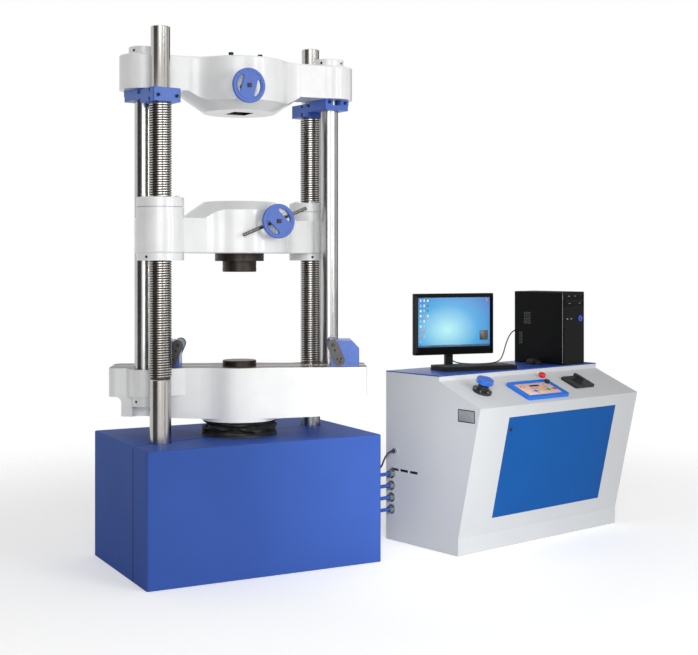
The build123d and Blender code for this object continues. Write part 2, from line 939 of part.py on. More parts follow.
# Cap rings above the nuts and plain rings under the bosses
with BuildPart() as nut_rings:
    ring_foot = arm_level_lower + nut_flange_height
    with Locations(*[(x, y, ring_foot) for x, y in screw_points.values()]):
        Cylinder(ring_groove_diameter / 2, ring_groove + cap_ring_height, align=up)
    with Locations(*[(x, y, ring_foot + ring_groove) for x, y in screw_points.values()]):
        Cylinder(nut_flange_diameter / 2, cap_ring_height, align=up)
    chamfer(nut_rings.edges().group_by(Axis.Z)[-1], edge_chamfer)
    with Locations(*[(x, y, casting_base_lower) for x, y in screw_points.values()]):
        Cylinder(nut_flange_diameter / 2, lower_ring_height, align=down)
    with Locations(*[(x, y, casting_base_lower) for x, y in screw_points.values()]):
        Cylinder(thread_diameter / 2 + slide_gap, 2 * casting_height + hub_drop, mode=Mode.SUBTRACT)

# Compression platen under the middle crosshead
press_foot = casting_base_lower - press_flange_height - press_disc_height
groove_foot = press_foot + press_disc_height / 2
with BuildPart() as compression_platen:
    with BuildSketch(Plane.XZ):
        with BuildLine():
            Polyline(
                (0, casting_base_lower),
                (press_flange_diameter / 2, casting_base_lower),
                (press_flange_diameter / 2, casting_base_lower - press_flange_height),
                (press_disc_diameter / 2, casting_base_lower - press_flange_height),
                (press_disc_diameter / 2, groove_foot + press_groove),
                (press_disc_diameter / 2 - press_groove, groove_foot + press_groove),
                (press_disc_diameter / 2 - press_groove, groove_foot),
                (press_disc_diameter / 2, groove_foot),
                (press_disc_diameter / 2, press_foot + press_groove),
                (press_disc_diameter / 2 - press_groove, press_foot),
                (0, press_foot),
                close=True,
            )
        make_face()
    revolve(axis=Axis.Z)

# Guide brackets: clamped on the columns, bored to guide the plain screw tops
bracket_top = arm_level_upper - bracket_clamp
bracket_foot = bracket_top - bracket_plate
bracket_side = 2 * bracket_half_width
guide_foot = bracket_foot - bracket_drop
guide_height = arm_level_upper - bracket_head_gap - guide_foot
with BuildPart() as guide_brackets:
    for end in ("left", "right"):
        column = column_points[end]
        screw = screw_points[end]
        outward = degrees(atan2(column[1] - screw[1], column[0] - screw[0]))
        with BuildSketch(Plane.XY.offset(guide_foot)):
            with Locations(screw):
                RectangleRounded(bracket_side, bracket_side, bracket_corner, rotation=outward)
        extrude(amount=guide_height)
        with Locations(Location((*screw, guide_foot), (0, 0, outward + bracket_slot_turn))):
            Box(2 * bracket_side, bracket_slot, guide_height, align=up, mode=Mode.SUBTRACT)
        with BuildSketch(Plane.XY.offset(bracket_foot)):
            with Locations(column, screw):
                RectangleRounded(bracket_side, bracket_side, bracket_corner, rotation=outward)
            make_hull()
        extrude(amount=bracket_plate)
        with Locations(Location((*column, bracket_top), (0, 0, outward))):
            with GridLocations(0, bracket_side - bracket_jaw, 1, 2):
                Box(bracket_side, bracket_jaw, bracket_clamp, align=up)
        with Locations((*column, arm_level_upper)):
            Cylinder(
                column_diameter / 2 + running_gap, casting_height, align=down, mode=Mode.SUBTRACT
            )
        with Locations((*screw, arm_level_upper)):
            Cylinder(
                guide_diameter / 2 + slide_gap, casting_height, align=down, mode=Mode.SUBTRACT
            )


# Bend supports: sloped block with a cradle, two side plates and a key in the slot
def support_plane(side, roller_at):
    return Plane(
        origin=table_plane.from_local_coords((side * roller_at, 0, table_top)),
        x_dir=table_plane.x_dir * side,
        z_dir=(0, 0, 1),
    )


def bend_support(plane):
    side_plane = side_of(plane)
    with BuildPart(plane) as support:
        with BuildSketch(side_plane):
            with BuildLine():
                Polyline(
                    (-support_nose, 0),
                    (support_length, 0),
                    (support_length, support_shoulder),
                    (support_length - support_slope_run, support_height),
                    (roller_diameter / 2, support_height),
                    (-support_nose, roller_height - roller_diameter / 2),
                    close=True,
                )
            make_face()
        extrude(amount=support_half_width, both=True)
        with Locations((0, 0, roller_height)):
            Cylinder(
                roller_diameter / 2 + slide_gap,
                2 * support_half_width,
                rotation=(90, 0, 0),
                mode=Mode.SUBTRACT,
            )
        for turn in (-1, 1):
            with BuildSketch(side_plane.offset(turn * (support_half_width + plate_thickness / 2))):
                with Locations((0, roller_height), (plate_foot_out, plate_foot_up)):
                    Circle(plate_radius)
                make_hull()
                with Locations((0, roller_height)):
                    Circle(trunnion_diameter / 2 + running_gap, mode=Mode.SUBTRACT)
            extrude(amount=plate_thickness / 2, both=True)
        with Locations((support_length / 2, 0, 0)):
            Box(
                support_length - 2 * support_nose,
                table_slot_width - 2 * slide_gap,
                table_slot_depth - slide_gap,
                align=down,
            )
    return support


def bend_roller(plane):
    with BuildPart(plane) as roller:
        with Locations((0, 0, roller_height)):
            Cylinder(
                roller_diameter / 2, 2 * (support_half_width - slide_gap), rotation=(90, 0, 0)
            )
            Cylinder(
                trunnion_diameter / 2,
                2 * (support_half_width + plate_thickness),
                rotation=(90, 0, 0),
            )
    return roller


left_support_plane = support_plane(-1, left_roller_at)
right_support_plane = support_plane(1, right_roller_at)
left_bend_support = bend_support(left_support_plane)
right_bend_support = bend_support(right_support_plane)
left_roller = bend_roller(left_support_plane)
right_roller = bend_roller(right_support_plane)

# Console planes: the leaning front, the sloping panel and the left side
cabinet_top = desk_height - desk_sheet
panel_top = cabinet_top - riser
console_profile = profile_of(console_plane)
panel_run = console_plane.y_dir * (front_depth - desk_depth)
panel_vector = panel_run + Vector(0, 0, panel_top - front_height)
panel_plane = Plane(
    origin=console_plane.from_local_coords((0, -desk_depth, panel_top)),
    x_dir=console_plane.x_dir,
    z_dir=console_plane.x_dir.cross(panel_vector),
)
panel_axis = Axis(panel_plane.origin, panel_plane.z_dir)
front_run = console_plane.y_dir * (plinth_depth - front_depth)
front_vector = front_run + Vector(0, 0, front_height - plinth_height)
front_plane = Plane(
    origin=console_plane.from_local_coords((0, -plinth_depth, plinth_height)),
    x_dir=console_plane.x_dir,
    z_dir=console_plane.x_dir.cross(front_vector),
)
front_length = hypot(front_depth - plinth_depth, front_height - plinth_height)
door_width = console_width - door_left - door_right
door_height = front_length - door_top - door_bottom
door_centre = (door_left + door_width / 2, door_bottom + door_height / 2)


def on_panel(point):
    """Place on the sloping panel, counted right and down from its top left corner."""
    return (point[0], -point[1])


# Cabinet: folded sheet shell with the door opening, vents and control holes
with BuildPart(console_plane) as console_cabinet:
    with BuildSketch(console_profile) as cabinet_outline:
        with BuildLine():
            Polyline(
                (0, 0),
                (0, cabinet_top),
                (-desk_depth, cabinet_top),
                (-desk_depth, panel_top),
                (-front_depth, front_height),
                (-plinth_depth, plinth_height),
                (-plinth_depth, 0),
                close=True,
            )
        make_face()
    extrude(amount=console_width)
    with BuildSketch(console_profile.offset(console_sheet)):
        offset(cabinet_outline.sketch_local, amount=-console_sheet)
    extrude(amount=console_width - 2 * console_sheet, mode=Mode.SUBTRACT)
    with BuildSketch(front_plane):
        with Locations(door_centre):
            Rectangle(door_width + 2 * door_gap, door_height + 2 * door_gap)
    extrude(amount=2 * console_sheet, both=True, mode=Mode.SUBTRACT)
    with Locations((0, -vent_from_rear - vent_pitch, vent_height_at)):
        with GridLocations(0, vent_pitch, 1, 3):
            Box(4 * console_sheet, vent_length, vent_height, mode=Mode.SUBTRACT)
    with BuildSketch(panel_plane):
        for point, stem in (
            (valve_at, valve_stem_diameter),
            (release_at, release_stem_diameter),
            (estop_at, estop_stem_diameter),
            (isolator_at, isolator_stem_diameter),
        ):
            with Locations(on_panel(point)):
                Circle(stem / 2 + running_gap)
    extrude(amount=2 * console_sheet, both=True, mode=Mode.SUBTRACT)

# Desk sheet on the cabinet
with BuildPart(console_plane.offset(cabinet_top)) as desk_top:
    Box(console_width, desk_depth, desk_sheet, align=(Align.MIN, Align.MAX, Align.MIN))
    fillet(desk_top.edges().group_by(Axis.Z)[-1], desk_sheet / 3)

# Service door: shallow pan that fills the opening
with BuildPart(front_plane) as service_door:
    with BuildSketch(front_plane):
        with Locations(door_centre):
            Rectangle(door_width, door_height)
    extrude(amount=-door_thickness)
    with BuildSketch(front_plane.offset(-console_sheet)):
        with Locations(door_centre):
            Rectangle(door_width - 2 * console_sheet, door_height - 2 * console_sheet)
    extrude(amount=-door_thickness, mode=Mode.SUBTRACT)

# Oil tank and pump set on the cabinet floor
with BuildPart(console_plane.offset(console_sheet)) as oil_tank:
    with Locations((tank_from_side, -tank_from_rear, 0)):
        Box(tank_length, tank_depth, tank_height, align=(Align.MIN, Align.MAX, Align.MIN))
    fillet(oil_tank.edges().filter_by(Axis.Z), tank_corner)
    filler_at = (tank_from_side + tank_length / 4, -tank_from_rear - tank_depth / 2, tank_height)
    with Locations(filler_at):
        Cylinder(filler_diameter / 2, filler_height, align=up)

with BuildPart(console_plane.offset(console_sheet)) as pump_set:
    with Locations((pump_from_side, -pump_from_rear, 0)):
        Box(pump_motor_length, pump_motor_diameter, foot_plate, align=up)
        with Locations((0, 0, foot_plate - foot_sink + pump_motor_diameter / 2)):
            Cylinder(pump_motor_diameter / 2, pump_motor_length, rotation=(0, 90, 0))
        with Locations((0, 0, foot_plate)):
            Box(pump_motor_length / 2, pump_motor_diameter / 2, pump_motor_diameter / 2, align=up)
    with Locations((pump_from_side + pump_motor_length / 2, -pump_from_rear, 0)):
        Box(
            pump_length,
            pump_side,
            foot_plate + (pump_motor_diameter + pump_side) / 2,
            align=(Align.MIN, Align.CENTER, Align.MIN),
        )

# Load valve: flanged body with a bored boss, and its lobed wheel on a stem
with BuildPart(panel_plane) as load_valve_body:
    with Locations(on_panel(valve_at)):
        Cylinder(valve_flange_diameter / 2, valve_flange, align=up)
        Cylinder(valve_boss_diameter / 2, valve_flange + valve_boss, align=up)
        Cylinder(
            valve_stem_diameter / 2 + running_gap,
            valve_flange + valve_boss,
            align=up,
            mode=Mode.SUBTRACT,
        )
    fillet(load_valve_body.faces().sort_by(panel_axis)[-1].edges()[0], valve_boss_edge)

wheel_foot = valve_flange + valve_boss + valve_wheel_lift
with BuildPart(panel_plane) as load_valve_wheel:
    with BuildSketch(panel_plane.offset(wheel_foot)):
        with Locations(on_panel(valve_at)):
            Circle(valve_wheel_diameter / 2)
            with PolarLocations((valve_wheel_diameter + valve_wheel_dip) / 2, valve_wheel_lobes):
                Circle(valve_wheel_dip, mode=Mode.SUBTRACT)
    extrude(amount=valve_wheel_height)
    wheel_top = load_valve_wheel.faces().sort_by(panel_axis)[-1]
    fillet(wheel_top.edges(), valve_wheel_edge)
    with Locations((valve_at[0], -valve_at[1], -stem_length)):
        Cylinder(valve_stem_diameter / 2, stem_length + wheel_foot, align=up)

# Release knob on its stem
with BuildPart(panel_plane) as release_valve_knob:
    with Locations((release_at[0], -release_at[1], -stem_length)):
        Cylinder(release_stem_diameter / 2, stem_length + release_height, align=up)
    with Locations((release_at[0], -release_at[1], slide_gap)):
        Cylinder(release_diameter / 2, release_height, align=up)
    fillet(release_valve_knob.edges().sort_by(panel_axis)[-1], release_edge)

# Emergency stop: mushroom head on a stem, standing one travel above the panel
with BuildPart(panel_plane) as estop_button:
    with Locations((estop_at[0], -estop_at[1], -stem_length)):
        Cylinder(estop_stem_diameter / 2, stem_length + 2 * estop_travel, align=up)
    with Locations((estop_at[0], -estop_at[1], 2 * estop_travel)):
        Cylinder(estop_diameter / 2, estop_height, align=up)
    fillet(estop_button.edges().sort_by(panel_axis)[-1], estop_height / 2)

# Control panel box with a raised rim, and its rotary knob
with BuildPart(panel_plane) as control_panel:
    with BuildSketch(panel_plane):
        with Locations(on_panel(panel_at)):
            RectangleRounded(panel_width, panel_length, panel_rim)
    extrude(amount=panel_height)
    with BuildSketch(panel_plane.offset(panel_height)):
        with Locations(on_panel(panel_at)):
            RectangleRounded(panel_width - 2 * panel_rim, panel_length - 2 * panel_rim, panel_rim / 2)
    extrude(amount=-panel_recess, mode=Mode.SUBTRACT)
    knob_point = (panel_at[0] + panel_knob_at[0], -panel_at[1] + panel_knob_at[1])
    with Locations((*knob_point, panel_height)):
        Cylinder(
            panel_stem_diameter / 2 + running_gap, panel_height, align=down, mode=Mode.SUBTRACT
        )

knob_foot = panel_height - panel_recess + slide_gap
with BuildPart(panel_plane) as panel_knob:
    with Locations((*knob_point, knob_foot)):
        Cylinder(panel_knob_diameter / 2, panel_knob_height, align=up)
        Cylinder(panel_stem_diameter / 2, knob_foot - slide_gap, align=down)
        with PolarLocations(panel_knob_diameter / 2, panel_knob_flutes):
            Cylinder(panel_knob_flute_depth, panel_knob_height, align=up, mode=Mode.SUBTRACT)

# Isolator: plate with a turning lever
with BuildPart(panel_plane) as isolator_plate:
    with BuildSketch(panel_plane):
        with Locations(on_panel(isolator_at)):
            RectangleRounded(isolator_width, isolator_length, panel_rim)
            Circle(isolator_stem_diameter / 2 + running_gap, mode=Mode.SUBTRACT)
    extrude(amount=isolator_height)

with BuildPart(panel_plane) as isolator_handle:
    with Locations((isolator_at[0], -isolator_at[1], isolator_height + slide_gap)):
        Cylinder(isolator_hub_diameter / 2, isolator_hub_height, align=up)
        Cylinder(isolator_stem_diameter / 2, isolator_height + stem_length / 2, align=down)
        with Locations((0, 0, isolator_hub_height)):
            Box(isolator_bar_width, isolator_bar_length, isolator_bar_height, align=up)
    fillet(
        isolator_handle.faces().sort_by(panel_axis)[-1].edges(),
        isolator_bar_height / 5,
    )

# Monitor stand: foot, hollow neck and the pivot pin
neck_top = monitor_pivot + neck_head
with BuildPart(monitor_plane) as monitor_stand:
    with BuildSketch(monitor_plane):
        with Locations((0, neck_depth - stand_length / 2)):
            RectangleRounded(stand_width, stand_length, stand_corner)
    extrude(amount=stand_thickness)
    Box(neck_width, neck_depth, neck_top, align=up)
    with Locations((0, 0, monitor_pivot)):
        Cylinder(
            monitor_pin_diameter / 2, monitor_ear_gap + 2 * monitor_ear, rotation=(0, 90, 0)
        )
    with Locations((0, neck_depth / 2, cable_hole_height)):
        Cylinder(cord_diameter, neck_depth / 2, rotation=(90, 0, 0), align=up, mode=Mode.SUBTRACT)

# Monitor housing: slab with a rear bulge and two ears on the pin
with BuildPart(monitor_plane) as monitor_housing:
    with Locations((0, -monitor_pivot_back - monitor_bulge, monitor_foot_gap)):
        Box(
            monitor_width,
            monitor_depth,
            monitor_height,
            align=(Align.CENTER, Align.MAX, Align.MIN),
        )
    fillet(monitor_housing.edges().filter_by(monitor_axis), monitor_corner)
    with Locations((0, -monitor_pivot_back, monitor_foot_gap + monitor_height / 2)):
        Box(
            monitor_bulge_width,
            monitor_bulge,
            monitor_bulge_height,
            align=(Align.CENTER, Align.MAX, Align.CENTER),
        )
    chamfer(
        monitor_housing.faces().sort_by(monitor_axis)[-1].edges(),
        monitor_bulge / 2,
    )
    with GridLocations(monitor_ear_gap + monitor_ear, 0, 2, 1):
        with Locations((0, -monitor_pivot_back, monitor_pivot)):
            Box(
                monitor_ear,
                monitor_pivot_back,
                2 * monitor_pin_diameter,
                align=(Align.CENTER, Align.MIN, Align.CENTER),
            )
        with Locations((0, 0, monitor_pivot)):
            Cylinder(monitor_pin_diameter, monitor_ear, rotation=(0, 90, 0))
            Cylinder(
                monitor_pin_diameter / 2 + running_gap,
                monitor_ear,
                rotation=(0, 90, 0),
                mode=Mode.SUBTRACT,
            )

# Keyboard: flat case with a leaning rear edge
with BuildPart(keyboard_plane) as keyboard:
    with BuildSketch(profile_of(keyboard_plane)):
        Trapezoid(
            keyboard_length,
            keyboard_height,
            keyboard_front_angle,
            keyboard_rear_angle,
            align=(Align.CENTER, Align.MIN),
        )
    extrude(amount=keyboard_width / 2, both=True)
    fillet(keyboard.edges().filter_by(Axis.Z), keyboard_corner)

# Mouse: domed shell
with BuildPart(mouse_plane) as mouse:
    with BuildSketch(mouse_plane):
        RectangleRounded(mouse_width, mouse_length, mouse_corner)
    extrude(amount=mouse_height)
    fillet(mouse.faces().sort_by(Axis.Z)[-1].edges(), mouse_crown)

# Computer tower: case with a front bezel
with BuildPart(tower_plane) as pc_case:
    Box(tower_width, tower_depth, tower_height, align=(Align.MIN, Align.MAX, Align.MIN))
    with Locations((0, -tower_depth, 0)):
        Box(tower_width, tower_bezel, tower_height, align=(Align.MIN, Align.MAX, Align.MIN))
    fillet(pc_case.edges().filter_by(tower_axis), tower_edge)

# Pipe fittings and cable glands on the base side and on the console side
pipe_direction = -console_plane.x_dir
console_port = console_plane.from_local_coords((0, -pipe_from_rear, 0))
bend_x = base_half_width + pipe_bend_at
bend_reach = (console_port.X - bend_x) / console_plane.x_dir.X
pipe_y = (console_port + pipe_direction * bend_reach).Y
lead_out = Plane(
    origin=console_plane.from_local_coords((0, -lead_out_from_rear, lead_out_height)),
    x_dir=(0, 0, 1),
    z_dir=pipe_direction,
)
lead_in = Plane(
    origin=(base_half_width, lead_in_y, lead_in_height), x_dir=(0, 1, 0), z_dir=(1, 0, 0)
)
with BuildPart() as pipe_fittings:
    for height in pipe_heights:
        base_port = Plane(
            origin=(base_half_width, pipe_y, height), x_dir=(0, 1, 0), z_dir=(1, 0, 0)
        )
        side_port = Plane(
            origin=console_port + Vector(0, 0, height), x_dir=(0, 0, 1), z_dir=pipe_direction
        )
        for port in (base_port, side_port):
            with BuildSketch(port):
                Circle(fitting_flange_diameter / 2)
            extrude(amount=fitting_flange)
            with BuildSketch(port.offset(fitting_flange)):
                RegularPolygon(fitting_diameter / 2, 6)
            extrude(amount=fitting_length - fitting_flange)
    for port in (lead_out, lead_in):
        with BuildSketch(port):
            Circle(gland_diameter / 2)
        extrude(amount=gland_length)

# Hydraulic pipes, bent once between the two housings
with BuildPart() as hydraulic_pipes:
    for height in pipe_heights:
        start = Vector(base_half_width + fitting_length, pipe_y, height)
        corner = Vector(bend_x, pipe_y, height)
        finish = console_port + pipe_direction * fitting_length + Vector(0, 0, height)
        with BuildLine() as pipe_path:
            FilletPolyline(start, corner, finish, radius=pipe_bend_radius)
        with BuildSketch(Plane(origin=start, x_dir=(0, 1, 0), z_dir=(1, 0, 0))):
            Circle(pipe_diameter / 2)
        sweep(path=pipe_path.line)


def cord_path(points):
    """Radii of the bends of a cord through its points, as large as its runs allow."""
    radii = []
    for before, point, after in zip(points, points[1:], points[2:]):
        first = point - before
        second = after - point
        turn = radians(first.get_angle(second))
        radii.append(0.45 * min(first.length, second.length) / tan(turn / 2))
    print("cord radii", [round(radius) for radius in radii])
    return radii


def cord_tube(points, diameter):
    with BuildPart() as tube:
        with BuildLine() as path:
            FilletPolyline(*points, radius=cord_path(points))
        with BuildSketch(Plane(origin=points[0], z_dir=points[1] - points[0])):
            Circle(diameter / 2)
        sweep(path=path.line)
    return tube


# Monitor cord: from the back of the tower, over the desk, up into the neck
neck_back = neck_depth / 2
cord_end = (
    Vector(0, neck_back + cord_arrive, cable_hole_height),
    Vector(0, neck_back, cable_hole_height),
)
monitor_cord_points = [tower_plane.from_local_coords(Vector(*point)) for point in cord_leave]
for x, y, z in cord_run:
    on_desk = tower_spot.position + Vector(x, y, z)
    monitor_cord_points.append(desk_plane.from_local_coords(on_desk))
monitor_cord_points += [monitor_plane.from_local_coords(point) for point in cord_end]
monitor_cable = cord_tube(monitor_cord_points, cord_diameter)

# Sensor lead: from the console side down and across to the base
lead_points = [lead_out.origin + pipe_direction * gland_length]
for out, back, rise in lead_leave:
    lead_points.append(lead_out.origin + pipe_direction * out + Vector(0, back, rise))
for out, back, rise in lead_arrive:
    lead_points.append(lead_in.origin + Vector(out, back, rise))
lead_points.append(lead_in.origin + Vector(gland_length, 0, 0))
side_cable = cord_tube(lead_points, lead_diameter)

# Every piece with its node name
pieces = {
    "base_bed": base_bed,
    "front_cover": front_cover,
    "rear_cover": rear_cover,
    "main_cylinder": main_cylinder,
    "ram": ram,
    "ram_bellows": ram_bellows,
    "screw_bearings": screw_bearings,
    "left_screw": left_screw,
    "right_screw": right_screw,
    "left_sprocket": left_sprocket,
    "right_sprocket": right_sprocket,
    "drive_chain": drive_chain,
    "drive_motor": drive_motor,
    "table": table,
    "table_platen": table_platen,
    "columns": columns,
    "column_nuts": column_nuts,
    "upper_crosshead": upper_crosshead,
    "middle_crosshead": middle_crosshead,
    "upper_left_jaw": upper_left_jaw,
    "upper_right_jaw": upper_right_jaw,
    "lower_left_jaw": lower_left_jaw,
    "lower_right_jaw": lower_right_jaw,
    "upper_jaw_carrier": upper_jaw_carrier,
    "lower_jaw_carrier": lower_jaw_carrier,
    "upper_pinion_shaft": upper_pinion_shaft,
    "lower_pinion_shaft": lower_pinion_shaft,
    "upper_handwheel": upper_handwheel,
    "lower_handwheel": lower_handwheel,
    "tommy_bar": tommy_bar,
    "screw_nuts": screw_nuts,
    "nut_rings": nut_rings,
    "compression_platen": compression_platen,
    "guide_brackets": guide_brackets,
    "left_bend_support": left_bend_support,
    "right_bend_support": right_bend_support,
    "left_roller": left_roller,
    "right_roller": right_roller,
    "console_cabinet": console_cabinet,
    "desk_top": desk_top,
    "service_door": service_door,
    "oil_tank": oil_tank,
    "pump_set": pump_set,
    "load_valve_body": load_valve_body,
    "load_valve_wheel": load_valve_wheel,
    "release_valve_knob": release_valve_knob,
    "estop_button": estop_button,
    "control_panel": control_panel,
    "panel_knob": panel_knob,
    "isolator_plate": isolator_plate,
    "isolator_handle": isolator_handle,
    "monitor_stand": monitor_stand,
    "monitor_housing": monitor_housing,
    "keyboard": keyboard,
    "mouse": mouse,
    "pc_case": pc_case,
    "pipe_fittings": pipe_fittings,
    "hydraulic_pipes": hydraulic_pipes,
    "monitor_cable": monitor_cable,
    "side_cable": side_cable,
}
for name, piece in pieces.items():
    piece.part.label = name
    export_step(piece.part, f"parts/{name}.step")
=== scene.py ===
from math import atan2, cos, hypot, pi, radians, sin

import bpy
from mathutils import Matrix, Vector


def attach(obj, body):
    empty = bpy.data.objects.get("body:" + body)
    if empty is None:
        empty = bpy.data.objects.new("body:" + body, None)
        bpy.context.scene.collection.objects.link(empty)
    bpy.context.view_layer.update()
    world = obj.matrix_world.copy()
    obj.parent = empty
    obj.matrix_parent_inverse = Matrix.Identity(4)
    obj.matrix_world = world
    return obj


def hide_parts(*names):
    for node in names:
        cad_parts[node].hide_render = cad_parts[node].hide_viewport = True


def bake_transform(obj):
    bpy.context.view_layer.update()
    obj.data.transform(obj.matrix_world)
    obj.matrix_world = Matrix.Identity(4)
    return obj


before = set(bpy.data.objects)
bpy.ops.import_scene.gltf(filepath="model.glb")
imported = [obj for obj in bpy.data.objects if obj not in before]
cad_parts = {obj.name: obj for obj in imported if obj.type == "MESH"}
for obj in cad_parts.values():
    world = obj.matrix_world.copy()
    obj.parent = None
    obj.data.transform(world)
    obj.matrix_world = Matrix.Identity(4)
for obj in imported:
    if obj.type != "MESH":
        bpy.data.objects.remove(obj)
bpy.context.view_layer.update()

# Base: two folded sheet covers that stand round a cast bed, sprayed in one blue enamel.
# The paint pools a little, so its colour changes slowly over each face, and the spray
# leaves a fine orange peel.


def tint(red, green, blue):
    """A paint-card colour, 0 to 255, as the shader wants it."""
    parts = []
    for part in (red, green, blue):
        part = part / 255
        parts.append(part / 12.92 if part <= 0.04045 else ((part + 0.055) / 1.055) ** 2.4)
    return (*parts, 1.0)


def deeper(colour, share):
    """A colour with its light cut or raised to a share."""
    return (*(part * share for part in colour[:3]), 1.0)


def feed(node, values):
    """Set the inputs of a shader node, or join them to the outputs of other nodes."""
    for socket, value in values.items():
        if isinstance(value, bpy.types.NodeSocket):
            node.id_data.links.new(value, node.inputs[socket])
        else:
            node.inputs[socket].default_value = value


def add_node(tree, kind, values=None, **options):
    """Add a shader node, choose its options and feed its inputs."""
    node = tree.nodes.new("ShaderNode" + kind)
    for option, choice in options.items():
        setattr(node, option, choice)
    feed(node, values or {})
    return node


def ramp_of(tree, along, low, high, start=0.0, end=1.0):
    """Colour ramp between two colours, led by the output of another node."""
    ramp = add_node(tree, "ValToRGB", {"Fac": along})
    for stop, place, colour in zip(ramp.color_ramp.elements, (start, end), (low, high)):
        stop.position = place
        stop.color = colour
    return ramp


def finish_of(name, colour, rough, metal=0.0, coat=0.0, patch=0.25, change=0.10,
              grain=0.0015, depth=0.00004, stretch=(1, 1, 1), sheen=0.5):
    """Surface with slow patches of colour, and a fine grain along the tool marks."""
    finish = bpy.data.materials.new(name)
    finish.use_nodes = True
    tree = finish.node_tree
    place = add_node(tree, "TexCoord").outputs["Object"]
    patches = add_node(tree, "TexNoise", {"Vector": place, "Scale": 1 / patch, "Detail": 5})
    shade = ramp_of(tree, patches.outputs["Fac"], deeper(colour, 1 - change),
                    deeper(colour, 1 + change / 3), 0.3, 0.7)
    shade.name = "shade"
    along = add_node(tree, "Mapping", {"Vector": place, "Scale": stretch})
    grains = add_node(tree, "TexNoise", {"Vector": along.outputs["Vector"], "Scale": 1 / grain,
                                         "Detail": 3}, name="grains")
    gloss = add_node(tree, "MapRange", {"Value": grains.outputs["Fac"], "To Min": rough * 0.8,
                                        "To Max": min(1, rough * 1.25)})
    relief = add_node(tree, "Bump", {"Height": grains.outputs["Fac"], "Distance": depth,
                                     "Strength": 0.6})
    feed(tree.nodes["Principled BSDF"], {
        "Base Color": shade.outputs["Color"], "Roughness": gloss.outputs["Result"],
        "Normal": relief.outputs["Normal"], "Metallic": metal, "Coat Weight": coat,
        "Coat Roughness": 0.12, "Specular IOR Level": sheen,
    })
    return finish


def dress(finish, *names):
    """Give CAD nodes their finish."""
    for name in names:
        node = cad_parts[name]
        node.data.materials.clear()
        node.data.materials.append(finish)


base_enamel = finish_of("base_enamel", tint(61, 92, 170), 0.5, patch=0.5, grain=0.004, sheen=0.05)
bed_iron = finish_of("bed_iron", tint(84, 86, 90), 0.7, patch=0.1, depth=0.0003, grain=0.003)
dress(base_enamel, "front_cover", "rear_cover")
dress(bed_iron, "base_bed", "main_cylinder", "screw_bearings")

# Screw drive inside the base: a gear motor in grey paint, and a roller chain and two
# sprockets of oiled steel. They only show with the covers off.
motor_grey = finish_of("motor_grey", tint(112, 120, 128), 0.45, coat=0.1, grain=0.003)
drive_steel = finish_of("drive_steel", tint(120, 112, 102), 0.4, metal=0.9, patch=0.03, change=0.4)
dress(motor_grey, "drive_motor")
dress(drive_steel, "drive_chain", "left_sprocket", "right_sprocket")

# Lead screws: turned steel bars with a right-hand trapezoid thread, bright on the
# crests and painted dark on the flanks and in the roots, a painted shade for the
# thread's grooves. Each is turned from one outline, and the thread is wound up the
# bar from the outline of a single turn.
screw_centres = {"left": (-0.473, -0.132), "right": (0.473, 0.132)}
screw_outline = [
    (0.0, 0.085), (0.045, 0.085), (0.045, 0.2703), (0.075, 0.2703), (0.075, 0.2953),
    (0.0525, 0.2953), (0.0525, 0.957), (0.049, 0.961), (0.049, 2.296), (0.0475, 2.3),
    (0.0475, 2.675), (0.0435, 2.679), (0.0, 2.679),
]
thread_start = 0.961
thread_end = 2.299
thread_pitch = 0.012
thread_turns = 111
thread_outline = [
    (0.0486, thread_start), (0.0486, thread_start + 0.004), (0.055, thread_start + 0.0055),
    (0.055, thread_start + 0.0105), (0.0486, thread_start + thread_pitch),
]
thread_profile = (0.0035, thread_pitch + 0.0001)
bright_radius = 0.0545


def outline(name, points):
    """A chain of edges through (radius, height) points, drawn from a single vertex."""
    bpy.ops.object.select_all(action="DESELECT")
    bpy.ops.mesh.primitive_plane_add(size=0.001)
    piece = bpy.context.object
    piece.name = name
    bpy.ops.object.mode_set(mode="EDIT")
    bpy.ops.mesh.select_mode(type="VERT")
    bpy.ops.mesh.select_all(action="SELECT")
    bpy.ops.mesh.merge(type="CENTER")
    bpy.ops.transform.translate(value=(points[0][0], 0, points[0][1]))
    for before, point in zip(points, points[1:]):
        step = (point[0] - before[0], 0, point[1] - before[1])
        bpy.ops.mesh.extrude_vertices_move(TRANSFORM_OT_translate={"value": step})
    bpy.ops.object.mode_set(mode="OBJECT")
    return piece


def close_up():
    """Merge the seam of the mesh in edit mode and turn its faces outwards."""
    bpy.ops.mesh.select_all(action="SELECT")
    bpy.ops.mesh.remove_doubles(threshold=0.00001)
    bpy.ops.mesh.normals_make_consistent(inside=False)
    bpy.ops.object.mode_set(mode="OBJECT")


def turned(name, points, steps):
    """Turn an outline about the Z axis, as on a lathe."""
    piece = outline(name, points)
    bpy.ops.object.mode_set(mode="EDIT")
    bpy.ops.mesh.select_all(action="SELECT")
    bpy.ops.mesh.spin(steps=steps, angle=2 * pi, center=(0, 0, 0), axis=(0, 0, 1))
    close_up()
    return piece


def choose(pieces):
    """Select only these pieces, with the first one active."""
    bpy.ops.object.select_all(action="DESELECT")
    for piece in pieces:
        piece.select_set(True)
    bpy.context.view_layer.objects.active = pieces[0]


def joined(name, pieces):
    """Several meshes as one piece."""
    choose(pieces)
    bpy.ops.object.join()
    pieces[0].name = name
    return pieces[0]


def moved(x, y, z=0):
    """Place that is shifted from the origin."""
    return Matrix.Translation((x, y, z))


def seat(piece, finish, body, where=None, angle=35):
    """Put a piece in its place, keep the place in its mesh, and let it ride on its body."""
    if where is not None:
        piece.data.transform(where)
    choose([piece])
    bpy.ops.object.shade_smooth_by_angle(angle=radians(angle))
    piece.data.materials.clear()
    piece.data.materials.append(finish)
    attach(piece, body)


def apply_all(piece):
    """Apply the modifiers of a piece from the top down."""
    choose([piece])
    for modifier in list(piece.modifiers):
        bpy.ops.object.modifier_apply(modifier=modifier.name)


